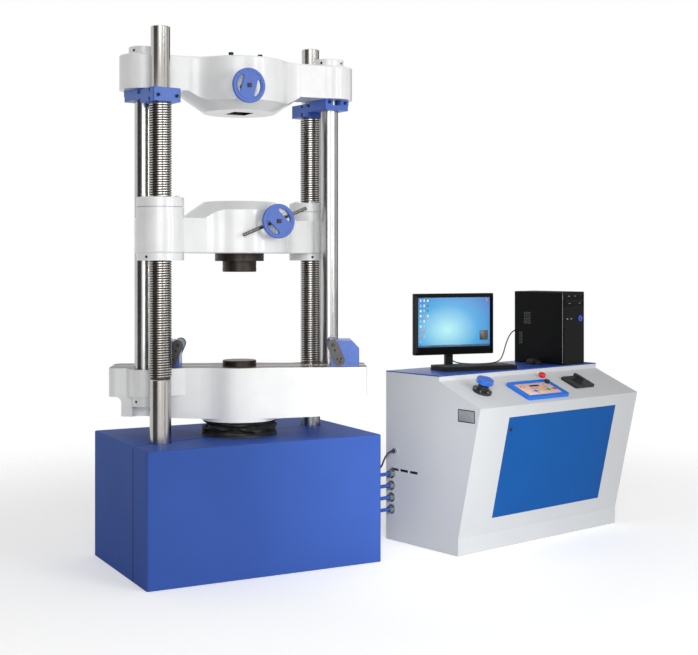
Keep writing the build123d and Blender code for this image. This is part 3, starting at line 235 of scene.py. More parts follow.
def pick(piece, wanted, kind="FACE"):
    """Select in edit mode the faces, edges or vertices that a test on their place wants."""
    bpy.ops.object.mode_set(mode="EDIT")
    bpy.ops.mesh.select_mode(type=kind)
    bpy.ops.mesh.select_all(action="DESELECT")
    bpy.ops.object.mode_set(mode="OBJECT")
    mesh = piece.data
    if kind == "VERT":
        for vertex in mesh.vertices:
            vertex.select = wanted(vertex.co)
    elif kind == "EDGE":
        for edge in mesh.edges:
            ends = [mesh.vertices[i].co for i in edge.vertices]
            edge.select = wanted(*ends)
    else:
        for face in mesh.polygons:
            face.select = wanted(face.center, face.normal)
    bpy.ops.object.mode_set(mode="EDIT")


def two_tone(piece, second, wanted):
    """Give the faces that a test on their place wants a second finish."""
    piece.data.materials.append(second)
    for face in piece.data.polygons:
        if wanted(face.center):
            face.material_index = 1


screw_steel = finish_of("screw_steel", tint(186, 183, 179), 0.2, metal=1.0, patch=0.2, change=0.06,
                        grain=0.0007, depth=0.00001, stretch=(0.15, 0.15, 3))
# Painted shade: this darker finish goes on the thread's flanks and roots.
root_shade = finish_of("root_shade", tint(74, 66, 60), 0.45, metal=0.7, patch=0.05, change=0.2)
for side, (x, y) in screw_centres.items():
    bar = turned(f"{side}_lead_screw", screw_outline, 64)
    thread = outline(f"{side}_thread", thread_outline)
    wind = thread.modifiers.new("wind", "SCREW")
    wind.steps = wind.render_steps = 32
    wind.screw_offset = thread_pitch
    wind.iterations = thread_turns
    wind.use_merge_vertices = True
    wind.merge_threshold = 0.00001
    apply_all(thread)
    for low in (thread_start, thread_start + thread_turns * thread_pitch):
        pick(thread, lambda place: abs(place.y) < 1e-5 and place.x > 0
             and thread_profile[0] < place.z - low < thread_profile[1], "VERT")
        bpy.ops.mesh.edge_face_add()
        bpy.ops.object.mode_set(mode="OBJECT")
    bpy.ops.object.mode_set(mode="EDIT")
    close_up()
    screw = joined(f"{side}_lead_screw", [bar, thread])
    seat(screw, screw_steel, f"{side}_screw", moved(x, y), 40)
    # Painted shade: faces inside the crest radius along the thread take the darker finish.
    two_tone(screw, root_shade, lambda place: thread_start < place.z < thread_end
             and hypot(place.x - x, place.y - y) < bright_radius)
    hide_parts(f"{side}_screw")

# Ram and its dust skirt: the ram is ground and chromed, and a loose black skirt of
# coated cloth hangs in ragged folds between the cover and the table seat.
ram_chrome = finish_of("ram_chrome", tint(205, 207, 210), 0.16, metal=1.0, patch=0.05, change=0.1,
                       grain=0.0006, stretch=(1, 1, 0.05))
dress(ram_chrome, "ram")
skirt_foot = 0.6508
skirt_top = 0.7274
fold_depth = 0.06
skirt_outline = [
    (0.150, 0.7270), (0.176, 0.7262), (0.199, 0.7190), (0.186, 0.7110), (0.162, 0.7040),
    (0.182, 0.6985), (0.2035, 0.6900), (0.188, 0.6830), (0.165, 0.6770), (0.185, 0.6715),
    (0.2040, 0.6630), (0.192, 0.6570), (0.199, 0.6512),
]
skirt = turned("ram_skirt", skirt_outline, 150)
for vertex in skirt.data.vertices:
    around = atan2(vertex.co.y, vertex.co.x)
    level = (vertex.co.z - skirt_foot) / (skirt_top - skirt_foot)
    ragged = (
        0.5 * sin(5 * around + 21 * level) + 0.4 * sin(11 * around - 34 * level + 1)
        + 0.3 * sin(23 * around + 47 * level + 2) + 0.4 * sin(3 * around + 15 * level)
    )
    swing = 1 - fold_depth * (1 + ragged / 1.6) / 2
    lift = (
        0.008 * sin(3 * around + 5 * level) + 0.006 * sin(7 * around - 9 * level + 1)
        + 0.005 * sin(13 * around + 19 * level + 2)
    )
    vertex.co.x *= swing
    vertex.co.y *= swing
    middle = 1 - abs(2 * level - 1) ** 2
    vertex.co.z = min(skirt_top, max(skirt_foot, vertex.co.z + lift * middle))
round_off = skirt.modifiers.new("round_off", "SUBSURF")
round_off.levels = round_off.render_levels = 1
wall = skirt.modifiers.new("wall", "SOLIDIFY")
wall.thickness = 0.0012
wall.offset = -1
apply_all(skirt)
skirt_cloth = finish_of("skirt_cloth", tint(38, 37, 38), 0.6, patch=0.03, change=0.5, grain=0.001,
                        depth=0.0003)
bpy.ops.object.shade_smooth_by_angle(angle=radians(60))
skirt.data.materials.append(skirt_cloth)
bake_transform(skirt)
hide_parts("ram_bellows")

# Columns: ground and hard-chromed bars with faint lines round them from the
# grinding wheel, held by white cap nuts above and foot nuts below.
column_chrome = finish_of("column_chrome", tint(184, 183, 183), 0.2, metal=1.0, patch=0.08,
                          change=0.08, grain=0.0007, depth=0.00001, stretch=(0.15, 0.15, 3))
casting_white = finish_of("casting_white", tint(238, 239, 238), 0.3, coat=0.5, patch=0.12,
                          change=0.05, grain=0.012, depth=0.0004)
dress(column_chrome, "columns")
dress(casting_white, "column_nuts")

# Crossheads and table: heavy castings, filled, rubbed down and sprayed off-white. The
# wedge cavities are painted dark brown, partly for grease on their bare walls and partly
# as painted shade inside the grip mouths, and the table's top is bare milled steel.
cavity_half = (0.102, 0.085)
table_angle = 25
table_bare_from = 0.995


def copy_of(finish, name):
    """Copy of a finish under a name of its own."""
    twin = finish.copy()
    twin.name = name
    return twin


def worked_out(tree, operation, *values):
    """Output of a math node."""
    return add_node(tree, "Math", dict(enumerate(values)), operation=operation).outputs["Value"]


def parts_of(tree, vector):
    """The X, Y and Z outputs of a vector."""
    return add_node(tree, "SeparateXYZ", {"Vector": vector}).outputs


def second_colour(tree, mask, pattern, low, high):
    """Change a finish to a second colour, with a pattern of its own, where a mask is 1."""
    second = ramp_of(tree, pattern, low, high)
    mixed = add_node(tree, "Mix", {"Factor": mask, 6: tree.nodes["shade"].outputs["Color"],
                                   7: second.outputs["Color"]}, data_type="RGBA")
    feed(tree.nodes["Principled BSDF"], {"Base Color": mixed.outputs[2]})


def greased_and_shaded_cavity(name, low, high, colour):
    """Casting paint with the walls of the wedge cavity painted dark brown, partly grease and partly
    painted shade.
    """
    finish = copy_of(casting_white, name)
    tree = finish.node_tree
    middle = add_node(tree, "Mapping", {
        "Vector": add_node(tree, "TexCoord").outputs["Object"],
        "Location": (0, 0, (low + high) / 2), "Scale": (*cavity_half, (high - low) / 2),
    }, vector_type="TEXTURE")
    span = add_node(tree, "VectorMath", {0: middle.outputs["Vector"]}, operation="ABSOLUTE")
    parts = parts_of(tree, span.outputs["Vector"])
    wide = worked_out(tree, "MAXIMUM", parts["X"], parts["Y"])
    widest = worked_out(tree, "MAXIMUM", wide, parts["Z"])
    second_colour(tree, worked_out(tree, "LESS_THAN", widest, 1.0),
                  tree.nodes["grains"].outputs["Fac"], deeper(colour, 0.6), deeper(colour, 1.3))
    return finish


def bare_top(name, level, colour):
    """Casting paint whose upward faces above one height are bare milled steel."""
    finish = copy_of(casting_white, name)
    tree = finish.node_tree
    place = add_node(tree, "TexCoord").outputs["Object"]
    normal = add_node(tree, "NewGeometry").outputs["Normal"]
    upward = worked_out(tree, "GREATER_THAN", parts_of(tree, normal)["Z"], 0.9)
    above = worked_out(tree, "GREATER_THAN", parts_of(tree, place)["Z"], level)
    bare = worked_out(tree, "MULTIPLY", upward, above)
    along = add_node(tree, "Mapping", {"Vector": place, "Rotation": (0, 0, radians(table_angle)),
                                       "Scale": (0.15, 4, 1)})
    streaks = add_node(tree, "TexNoise", {"Vector": along.outputs["Vector"], "Scale": 40})
    second_colour(tree, bare, streaks.outputs["Fac"], deeper(colour, 0.6), deeper(colour, 1.5))
    shader = tree.nodes["Principled BSDF"]
    for socket, bare_value in (("Metallic", 0.2), ("Coat Weight", 0.0), ("Specular IOR Level", 0.12)):
        painted = shader.inputs[socket].default_value
        change = add_node(tree, "MapRange", {"Value": bare, "To Min": painted, "To Max": bare_value})
        feed(shader, {socket: change.outputs["Result"]})
    return finish


# Painted shade: the dark brown inside the wedge cavities stands partly for grease and partly for the
# shade in the grip mouths.
grease_and_shade_brown = tint(46, 32, 27)
dress(greased_and_shaded_cavity("upper_casting", 2.2945, 2.5405, grease_and_shade_brown), "upper_crosshead")
dress(greased_and_shaded_cavity("middle_casting", 1.5905, 1.8365, grease_and_shade_brown), "middle_crosshead")
dress(bare_top("table_paint", table_bare_from, tint(84, 70, 62)), "table")

# Platens, jaws and jaw carriers: hardened tool steel, blackened in hot oil, with a
# brown bloom that wears uneven where specimens have rubbed. The jaws and carriers take
# a darker, duller copy of the finish, a painted shade for the inside of the grip mouths.
tool_black = finish_of("tool_black", tint(52, 43, 38), 0.38, metal=0.55, patch=0.03, change=0.45,
                       grain=0.0012)
# Painted shade: the jaws' finish is darker and duller than the platens' for the shade in the grip
# mouths.
jaw_shaded_black = finish_of("jaw_shaded_black", tint(40, 27, 22), 0.6, metal=0.1, patch=0.02, change=0.4,
                      grain=0.001, sheen=0.1)
dress(tool_black, "table_platen", "compression_platen")
dress(jaw_shaded_black, "upper_left_jaw", "upper_right_jaw", "lower_left_jaw", "lower_right_jaw",
      "upper_jaw_carrier", "lower_jaw_carrier")

# Screw nuts: flanged sleeves in the bosses of the middle crosshead, painted with the
# casting. The rings above and below them hold the nuts and their wipers.
dress(casting_white, "screw_nuts", "nut_rings")

# Cap ring screws: six socket screws on each cap ring, painted over with the casting,
# and in the side of each lower ring one dark piece shaped as a grub screw, a painted
# shade for the small hole there.
ring_screw_foot = 1.845
ring_screw_circle = 0.094
hole_shade_height = 1.557
hole_shade_reach = 0.1149
hole_shade_bearings = {"left": -145, "right": -111}


def face_up(place, normal):
    """Test for pick: faces that look up."""
    return normal.z > 0.9


def sink(piece, rim, depth=0.0):
    """Leave a rim round the top of a piece and sink what lies inside it."""
    pick(piece, face_up)
    bpy.ops.mesh.inset(thickness=rim)
    if depth:
        bpy.ops.mesh.extrude_region_move(TRANSFORM_OT_translate={"value": (0, 0, -depth)})
    bpy.ops.object.mode_set(mode="OBJECT")


def cap_screw(name, head, height, socket):
    """Socket screw head: a short cylinder with a sunk round socket and a broken edge."""
    bpy.ops.object.select_all(action="DESELECT")
    bpy.ops.mesh.primitive_cylinder_add(vertices=24, radius=head, depth=height,
                                        location=(0, 0, height / 2))
    piece = bpy.context.object
    piece.name = name
    bpy.ops.object.transform_apply(location=True)
    sink(piece, head - socket, 0.6 * height)
    edge = piece.modifiers.new("edge", "BEVEL")
    edge.width = 0.08 * head
    edge.segments = 2
    apply_all(piece)
    return piece


def copies(name, piece, places):
    """One piece at every place, each with a mesh of its own, joined under one name."""
    made = []
    for place in places:
        twin = piece.copy()
        twin.data = piece.data.copy()
        twin.data.transform(place)
        bpy.context.scene.collection.objects.link(twin)
        made.append(twin)
    bpy.data.objects.remove(piece)
    return joined(name, made)


def facing(point, direction):
    """Place for a piece whose Z axis is to point in a direction."""
    aim = Vector(direction).to_track_quat("Z", "Y").to_matrix().to_4x4()
    return Matrix.Translation(point) @ aim


def spoke(bearing):
    """Level direction at a bearing in degrees."""
    return Vector((cos(radians(bearing)), sin(radians(bearing)), 0))


dark_screw = finish_of("dark_screw", tint(40, 40, 42), 0.42, metal=0.8, patch=0.01, change=0.3)


def screws(name, head, height, socket, places, body, finish=dark_screw):
    """Cap screws of one size, one at every place, as one piece."""
    seat(copies(name, cap_screw(name, head, height, socket), places), finish, body)


ring_places = []
hole_shade_places = []
for side, (x, y) in screw_centres.items():
    foot = Vector((x, y, ring_screw_foot))
    for count in range(6):
        ring_places.append(Matrix.Translation(foot + ring_screw_circle * spoke(60 * count + 12)))
    out = spoke(hole_shade_bearings[side])
    hole_shade_places.append(facing(Vector((x, y, hole_shade_height)) + hole_shade_reach * out, out))
screws("cap_ring_screws", 0.0105, 0.009, 0.006, ring_places, "crosshead", casting_white)
# Painted shade: a dark screw-shaped piece stands for the shade in the small hole of each lower ring.
screws("ring_hole_shades", 0.0065, 0.0015, 0.0035, hole_shade_places, "crosshead")

# Spanner hole plugs: a dark piece shaped as a socket screw in each spanner hole of the
# cap nuts and foot nuts, sunk from outside down to the column's thread, a painted shade
# for the inside of the holes.
column_centres = {"left": (-0.497, 0.042), "right": (0.497, -0.042)}
nut_sizes = {"cap": (2.577, 0.076), "foot": (0.8395, 0.060)}
hole_plug_depth = 0.0118
nut_places = []
for x, y in column_centres.values():
    for height, radius in nut_sizes.values():
        for count in range(4):
            out = spoke(90 * count - 60)
            nut_places.append(facing(Vector((x, y, height)) + (radius - hole_plug_depth) * out, out))
# Painted shade: these dark pieces make the spanner holes of the nuts read dark.
screws("spanner_hole_shades", 0.0067, 0.0105, 0.004, nut_places, "ram_frame")

# Hub screws: four tall black screws in the top of the upper crosshead that close the
# grip cavity. Two of them stand up over the front edge.
hub_reach = 0.08
hub_top = 2.5555
hub_places = [moved(x, y, hub_top) for x in (-hub_reach, hub_reach) for y in (-hub_reach, hub_reach)]
screws("hub_screws", 0.0125, 0.036, 0.006, hub_places, "ram_frame")

# Handwheels: cast iron discs in blue enamel, on the square ends of the pinion
# shafts; the tommy bar is a plain bright bar pushed through the lower shaft.
wheel_enamel = finish_of("wheel_enamel", tint(52, 98, 190), 0.4, coat=0.1, patch=0.05, change=0.08,
                         grain=0.004, depth=0.0002)
bar_steel = finish_of("bar_steel", tint(120, 119, 118), 0.25, metal=1.0, patch=0.03, change=0.2)
dress(wheel_enamel, "upper_handwheel", "lower_handwheel")
dress(tool_black, "upper_pinion_shaft", "lower_pinion_shaft")
dress(bar_steel, "tommy_bar")

# Guide brackets: blue plates clamped on the columns, with a split block round each
# screw top. Black socket screws pinch the blocks and the column clamps.
dress(wheel_enamel, "guide_brackets")
bracket_end = 0.0738
bracket_spread = 0.05
pinch_height = Vector((0, 0, 2.336))
clamp_height = Vector((0, 0, 2.369))
bracket_places = []
for side, centre in column_centres.items():
    screw_at = Vector((*screw_centres[side], 0))
    column_at = Vector((*centre, 0))
    away = (screw_at - column_at).normalized()
    across = Vector((-away.y, away.x, 0))
    for hand in (-bracket_spread, bracket_spread):
        pinch = screw_at + away * bracket_end + across * hand + pinch_height
        clamp = column_at - away * bracket_end + across * hand + clamp_height
        bracket_places += [facing(pinch, away), facing(clamp, -away)]
screws("bracket_screws", 0.0085, 0.006, 0.005, bracket_places, "ram_frame")

# Bend supports: blue blocks keyed in the table slot. Black side plates carry the
# black rollers, each plate held by four socket screws.
support_blue = finish_of("support_blue", tint(52, 92, 178), 0.38, coat=0.25, patch=0.02,
                         change=0.12, grain=0.003, depth=0.0002)
table_height = 1.0
plate_inside = 0.09005
plate_outside = 0.1018
plate_screw_spots = ((0.036, 0.024), (0.022, 0.038), (0.042, 0.040), (0.010, 0.082))


def rotated(angle, axis):
    """Place that is turned about an axis through the origin, in degrees."""
    return Matrix.Rotation(radians(angle), 4, axis)


def black_plates(name, colour):
    """Support paint that is black beyond a distance from the table's middle line."""
    finish = copy_of(support_blue, name)
    tree = finish.node_tree
    straight = add_node(tree, "Mapping", {"Vector": add_node(tree, "TexCoord").outputs["Object"],
                                          "Rotation": (0, 0, radians(table_angle))})
    aside = worked_out(tree, "ABSOLUTE", parts_of(tree, straight.outputs["Vector"])["Y"])
    second_colour(tree, worked_out(tree, "GREATER_THAN", aside, plate_inside),
                  tree.nodes["grains"].outputs["Fac"], deeper(colour, 0.7), deeper(colour, 1.3))
    return finish


dress(black_plates("support_paint", tint(50, 46, 45)), "left_bend_support", "right_bend_support")
dress(tool_black, "left_roller", "right_roller")
table_turn = rotated(-table_angle, "Z")
for side, hand, roller_at in (("left", -1, -0.308), ("right", 1, 0.477)):
    places = []
    for along, height in plate_screw_spots:
        for face in (-1, 1):
            spot = Vector((roller_at + hand * along, face * plate_outside, table_height + height))
            places.append(facing(table_turn @ spot, table_turn.to_3x3() @ Vector((0, face, 0))))
    screws(f"{side}_plate_screws", 0.0055, 0.003, 0.003, places, f"{side}_support")

# Console: folded sheet in pale grey, with a blue desk sheet and a blue door. The
# sheet is powder coated, so it has a fine even grain and a soft sheen.
powder = {"grain": 0.0025, "depth": 0.00012}
console_paint = finish_of("console_paint", tint(204, 206, 208), 0.45, patch=0.6, change=0.04,
                          sheen=0.2, **powder)
door_paint = finish_of("door_paint", tint(16, 86, 160), 0.5, patch=0.4, change=0.08, sheen=0.12,
                       **powder)
desk_paint = finish_of("desk_paint", tint(22, 66, 150), 0.4, coat=0.15, patch=0.4, change=0.1,
                       **powder)
dress(console_paint, "console_cabinet")
dress(door_paint, "service_door")
dress(desk_paint, "desk_top")
dress(motor_grey, "oil_tank", "pump_set")

# Side plate: a bare sheet of brushed aluminium near the front of the console's left
# side, over a thin black backing that shows as a rim. Four small rivets hold it.
console = moved(0.91, 0.07) @ rotated(12, "Z")
side_middle = Vector((0, -0.62, 0.735))
side_at = console @ Matrix.Translation(side_middle) @ rotated(-90, "Z") @ rotated(90, "X")


def plate(name, width, length, height, corner, edge):
    """Plate with round corners and a broken top edge, lying on the XY plane about its middle."""
    bpy.ops.object.select_all(action="DESELECT")
    bpy.ops.mesh.primitive_cube_add(size=1, location=(0, 0, height / 2))
    piece = bpy.context.object
    piece.name = name
    piece.scale = (width, length, height)
    bpy.ops.object.transform_apply(location=True, scale=True)
    if corner:
        pick(piece, lambda a, b: abs(a.z - b.z) > height / 2, "EDGE")
        bpy.ops.mesh.bevel(offset=corner, segments=5)
    bpy.ops.object.mode_set(mode="OBJECT")
    if edge:
        pick(piece, lambda a, b: a.z > height * 0.99 and b.z > height * 0.99, "EDGE")
        bpy.ops.mesh.bevel(offset=edge, segments=2)
        bpy.ops.object.mode_set(mode="OBJECT")
    return piece


bare_metal = finish_of("bare_metal", tint(168, 169, 170), 0.45, metal=0.4, patch=0.02, change=0.15,
                       grain=0.0005, stretch=(0.1, 0.1, 4))
side_plate = plate("side_plate", 0.112, 0.056, 0.0012, 0.003, 0.0004)
seat(side_plate, bare_metal, "base", side_at)
rim_black = finish_of("rim_black", tint(30, 31, 32), 0.5, patch=0.02, change=0.2, sheen=0.2)
side_rim = plate("side_plate_rim", 0.122, 0.066, 0.0008, 0.004, 0.0003)
seat(side_rim, rim_black, "base", side_at)
rivet_places = []
for along in (-0.051, 0.051):
    for height in (-0.023, 0.023):
        rivet_places.append(facing(console @ (side_middle + Vector((-0.0012, along, height))),
                                   console.to_3x3() @ Vector((-1, 0, 0))))
rivet = turned("rivet", [(0, 0), (0.0022, 0), (0.0019, 0.0007), (0.0011, 0.0012), (0, 0.0014)], 12)
seat(copies("side_plate_rivets", rivet, rivet_places), bare_metal, "base")

# Door lock: a small black cam lock near the door's left edge, opposite the hinge. Its
# plastic ring stands just proud of the sheet, and it turns with the door.
front_rise = 0.69
front_lean = -0.16
front = console @ moved(0, -0.56, 0.09) @ Matrix.Rotation(atan2(front_rise, front_lean), 4, "X")
lock_at = front @ moved(0.262, 0.575)
lock = turned("door_lock", [(0.004, 0.0002), (0.004, 0.0012), (0.0095, 0.0016), (0.0115, 0.001),
                            (0.0115, -0.002), (0, -0.002), (0, 0.0002), (0.004, 0.0002)], 24)
lock_black = finish_of("lock_black", tint(26, 26, 28), 0.35, patch=0.01, change=0.3)
seat(lock, lock_black, "service_door", lock_at)

# Valves on the sloping panel: a black flanged valve body with a lobed blue wheel,
# and a small red release knob, both of moulded plastic.
knob_blue = finish_of("knob_blue", tint(40, 104, 205), 0.3, coat=0.2, patch=0.02, change=0.1)
knob_red = finish_of("knob_red", tint(226, 30, 34), 0.3, coat=0.2, patch=0.02, change=0.1)
plastic_black = finish_of("plastic_black", tint(34, 34, 36), 0.45, patch=0.02, change=0.25,
                          grain=0.0008, depth=0.0001)
dress(knob_blue, "load_valve_wheel")
dress(knob_red, "release_valve_knob", "estop_button")
dress(plastic_black, "load_valve_body", "isolator_plate", "isolator_handle", "panel_knob")

# Emergency stop collar: a thin grey washer under the red mushroom head, held by the
# head's own threaded stem.
panel_rise = 0.12
panel_depth = 0.3
panel = console @ moved(0, -0.42, 0.9) @ Matrix.Rotation(atan2(panel_rise, panel_depth), 4, "X")
estop_at = panel @ moved(0.75, -0.058)
collar = turned("estop_collar", [(0.0122, 0.0), (0.0225, 0.0), (0.0225, 0.002), (0.0215, 0.003),
                                 (0.0122, 0.003), (0.0122, 0.0)], 40)
seat(collar, console_paint, "base", estop_at)

# Valve flange screws: six zinc-plated socket screws that hold the flange of the load
# valve down on the sloping panel.
zinc = finish_of("zinc", tint(190, 192, 190), 0.3, metal=0.95, patch=0.02, change=0.2)
flange_middle = Vector((0.178, -0.150, 0.0138))
flange_circle = 0.041
flange_places = [panel @ Matrix.Translation(flange_middle + flange_circle * spoke(60 * count + 30))
                 for count in range(6)]
screws("flange_screws", 0.005, 0.004, 0.0025, flange_places, "base", zinc)

# Control panel: a bright blue frame round a salmon face sheet. The sheet carries a
# dark display, an orange lamp, blue and black strips and four round keys.
panel_frame = finish_of("panel_frame", tint(28, 118, 222), 0.35, coat=0.2, patch=0.1, change=0.06)
dress(panel_frame, "control_panel")
face_at = panel @ moved(0.568, -0.198, 0.015)
face_thick = 0.0006
face_sheet = finish_of("face_sheet", tint(238, 200, 184), 0.4, patch=0.05, change=0.04)
seat(plate("panel_face", 0.264, 0.124, face_thick, 0.003, 0.0002), face_sheet, "base",
     face_at)
display_glass = finish_of("display_glass", tint(30, 34, 36), 0.12, coat=0.6, patch=0.01, change=0.3)
display = plate("panel_display", 0.076, 0.016, 0.0014, 0.002, 0.0005)
sink(display, 0.002, 0.0008)
seat(display, display_glass, "base", face_at @ moved(0, 0.032, face_thick))
strip_blue = finish_of("strip_blue", tint(60, 66, 190), 0.4, patch=0.01, change=0.1)
strip_black = finish_of("strip_black", tint(52, 44, 44), 0.45, patch=0.01, change=0.2)
legends = {
    "blue": (strip_blue, "panel_blue", 0.016, [
        (-0.042, 0.006), (-0.022, 0.006), (-0.002, 0.006), (0.056, 0.008), (0.076, 0.008)]),
    "black": (strip_black, "black_plastic", 0.007, [
        (-0.112, 0.046), (-0.114, 0.028), (-0.083, 0.028), (0.080, 0.040), (-0.070, -0.024),
        (-0.020, -0.022), (0.037, -0.020), (0.092, -0.018), (-0.040, -0.042)]),
}
for colour_name, (strip_finish, strip_slot, length, points) in legends.items():
    strip = plate("legend", length, 0.006, 0.0003, 0.001, 0.0001)
    places = [face_at @ moved(x, y, face_thick) for x, y in points]
    seat(copies(f"legends_{colour_name}", strip, places), strip_finish, "base")
keys = {
    "blue": (tint(28, 104, 214), (-0.046, -0.024)), "yellow": (tint(228, 184, 52), (0.009, -0.022)),
    "green": (tint(20, 136, 84), (0.064, -0.020)), "red": (tint(206, 40, 48), (0.115, -0.018)),
}
key_outline = [(0, 0.0042), (0.0075, 0.0042), (0.009, 0.0032), (0.009, 0.0012), (0.0115, 0.0012),
               (0.012, 0.0), (0, 0)]
for colour_name, (colour, (x, y)) in keys.items():
    key = turned(f"round_key_{colour_name}", key_outline, 28)
    key_finish = finish_of(f"key_{colour_name}", colour, 0.35, coat=0.2, patch=0.01, change=0.08)
    seat(key, key_finish, "base", face_at @ moved(x, y, face_thick))
lamp = turned("panel_lamp", [(0, 0.007), (0.006, 0.006), (0.0095, 0.0035), (0.0105, 0.0), (0, 0)], 24)
lamp_orange = finish_of("lamp_orange", tint(244, 140, 30), 0.2, coat=0.5, patch=0.02, change=0.1)
seat(lamp, lamp_orange, "base", face_at @ moved(-0.099, 0.030, face_thick))

# Monitor: black plastic housing with a gloss bezel, deeper along the foot, and a lit
# screen that shows a plain blue glow with small squares, a dark window and a bar.
case_black = finish_of("case_black", tint(10, 11, 12), 0.45, patch=0.05, change=0.25, grain=0.0006,
                       depth=0.00008, sheen=0.12)
gloss_black = finish_of("gloss_black", tint(7, 7, 8), 0.3, patch=0.05, change=0.2, sheen=0.12)
dress(case_black, "monitor_housing", "monitor_stand", "keyboard", "mouse", "pc_case")
desk = console @ moved(0, 0, 0.93)
computer_turn = rotated(-18, "Z")
monitor_foot = desk @ moved(0.431, -0.054) @ computer_turn
monitor_at = monitor_foot @ moved(0, -0.074, 0.076) @ rotated(90, "X")
screen_middle = 0.184
screen_face = 0.0012
bezel = plate("monitor_bezel", 0.494, 0.340, 0.0022, 0.006, 0.0008)
sink(bezel, 0.018)
pick(bezel, lambda place: place.z > 0.0021 and -0.155 < place.y < -0.145, "VERT")
bpy.ops.transform.translate(value=(0, 0.022, 0))
bpy.ops.object.mode_set(mode="OBJECT")
pick(bezel, lambda place, normal: normal.z > 0.9 and abs(place.x) < 0.02 and abs(place.y) < 0.06)
bpy.ops.mesh.extrude_region_move(TRANSFORM_OT_translate={"value": (0, 0, -0.0015)})
bpy.ops.object.mode_set(mode="OBJECT")
seat(bezel, gloss_black, "monitor", monitor_at @ moved(0, 0.173))
glass = bpy.data.materials.new("screen_picture")
glass.use_nodes = True
tree = glass.node_tree
middle = add_node(tree, "Mapping", {
    "Vector": add_node(tree, "TexCoord").outputs["Object"],
    "Location": monitor_at @ Vector((-0.045, screen_middle - 0.045, 0)),
    "Rotation": (0, 0, radians(-6)), "Scale": (0.36, 0.36, 0.26),
}, vector_type="TEXTURE")
glow = add_node(tree, "TexGradient", {"Vector": middle.outputs["Vector"]}, gradient_type="SPHERICAL")
sky = ramp_of(tree, glow.outputs["Fac"], tint(10, 82, 160), tint(150, 200, 202))
sky.color_ramp.elements.new(0.45).color = tint(34, 134, 184)
feed(tree.nodes["Principled BSDF"], {
    "Base Color": sky.outputs["Color"], "Emission Color": sky.outputs["Color"],
    "Emission Strength": 0.42, "Roughness": 0.2,
})
screen = plate("monitor_screen", 0.454, 0.278, 0.0004, 0, 0)
sink(screen, 0.001)
seat(screen, glass, "monitor", monitor_at @ moved(0, screen_middle, 0.0008))
bar_finish = finish_of("bar_finish", tint(58, 96, 128), 0.25, patch=0.03, change=0.3)
seat(plate("screen_bar", 0.452, 0.011, 0.0003, 0, 0.0001), bar_finish, "monitor",
     monitor_at @ moved(0, screen_middle - 0.133, screen_face))
window_finish = finish_of("window_finish", tint(74, 70, 62), 0.25, patch=0.012, change=0.7)
seat(plate("screen_window", 0.054, 0.056, 0.0003, 0.002, 0.0001), window_finish, "monitor",
     monitor_at @ moved(0.188, screen_middle - 0.077, screen_face))
symbols = {
    "pale": (tint(232, 232, 226), [(0, 0), (1, 0), (2, 0), (0, 2), (1, 1), (0, 3), (2, 3), (1, 4),
                                   (0, 5)]),
    "green": (tint(40, 140, 70), [(2, 1), (2, 2)]),
    "warm": (tint(226, 120, 60), [(0, 6), (1, 6), (0, 7), (1, 3), (19, 0)]),
    "blue": (tint(150, 190, 230), [(0, 1), (1, 2), (2, 4), (1, 5), (0, 4), (1, 7), (0, 8)]),
}
symbols_at = monitor_at @ moved(-0.212, screen_middle + 0.123, screen_face)
symbol_step = 0.022
symbol_drop = -0.029
for colour_name, (colour, spots) in symbols.items():
    symbol = plate("screen_symbol", 0.010, 0.013, 0.0003, 0.002, 0.0001)
    places = [symbols_at @ moved(symbol_step * column, symbol_drop * row) for column, row in spots]
    symbol_finish = finish_of(f"symbol_{colour_name}", colour, 0.25, patch=0.01, change=0.3)
    seat(copies(f"screen_symbols_{colour_name}", symbol, places), symbol_finish, "monitor")

# Keyboard keys: six rows of moulded caps, each narrower at its top, with a gap above
# the letter block and the space bar at the front.
cap_black = finish_of("cap_black", tint(24, 24, 26), 0.5, patch=0.01, change=0.25, grain=0.0006,
                      depth=0.00005)
key_rows = (-0.064, -0.044, -0.024, -0.004, 0.016, 0.046)
key_pitch = 0.0206
number_block_gap = 0.003
keys_at = desk @ moved(0.432, -0.257) @ computer_turn @ moved(-0.212, 0, 0.0218)


def key_cap(name, width):
    """Key cap that is narrower at its top."""
    cap = plate(name, width, 0.0172, 0.005, 0.0015, 0.0008)
    pick(cap, face_up)
    bpy.ops.transform.resize(value=(0.86, 0.82, 1))
    bpy.ops.object.mode_set(mode="OBJECT")
    return cap


places = []
for row, y in enumerate(key_rows):
    for column in range(21):
        if row == 0 and 3 <= column <= 9 or row == 5 and column in (1, 15):
            continue
        places.append(keys_at @ moved(key_pitch * column + number_block_gap * (column > 14), y))
seat(copies("keyboard_keys", key_cap("key", 0.0178), places), cap_black, "base")
seat(key_cap("space_bar", 0.139), cap_black, "base",
     keys_at @ moved(key_pitch * 6, key_rows[0]))

# Mouse wheel: a small rubber roller that stands out of the shell between its buttons,
# on an axle inside the shell.
mouse_at = desk @ moved(0.945, -0.25) @ computer_turn
wheel = turned("mouse_wheel", [(0.006, -0.0035), (0.0085, -0.0025), (0.009, 0), (0.0085, 0.0025),
                               (0.006, 0.0035), (0.006, -0.0035)], 30)
seat(wheel, plastic_black, "base",
     mouse_at @ moved(0, 0.028, 0.029) @ rotated(90, "Y"))

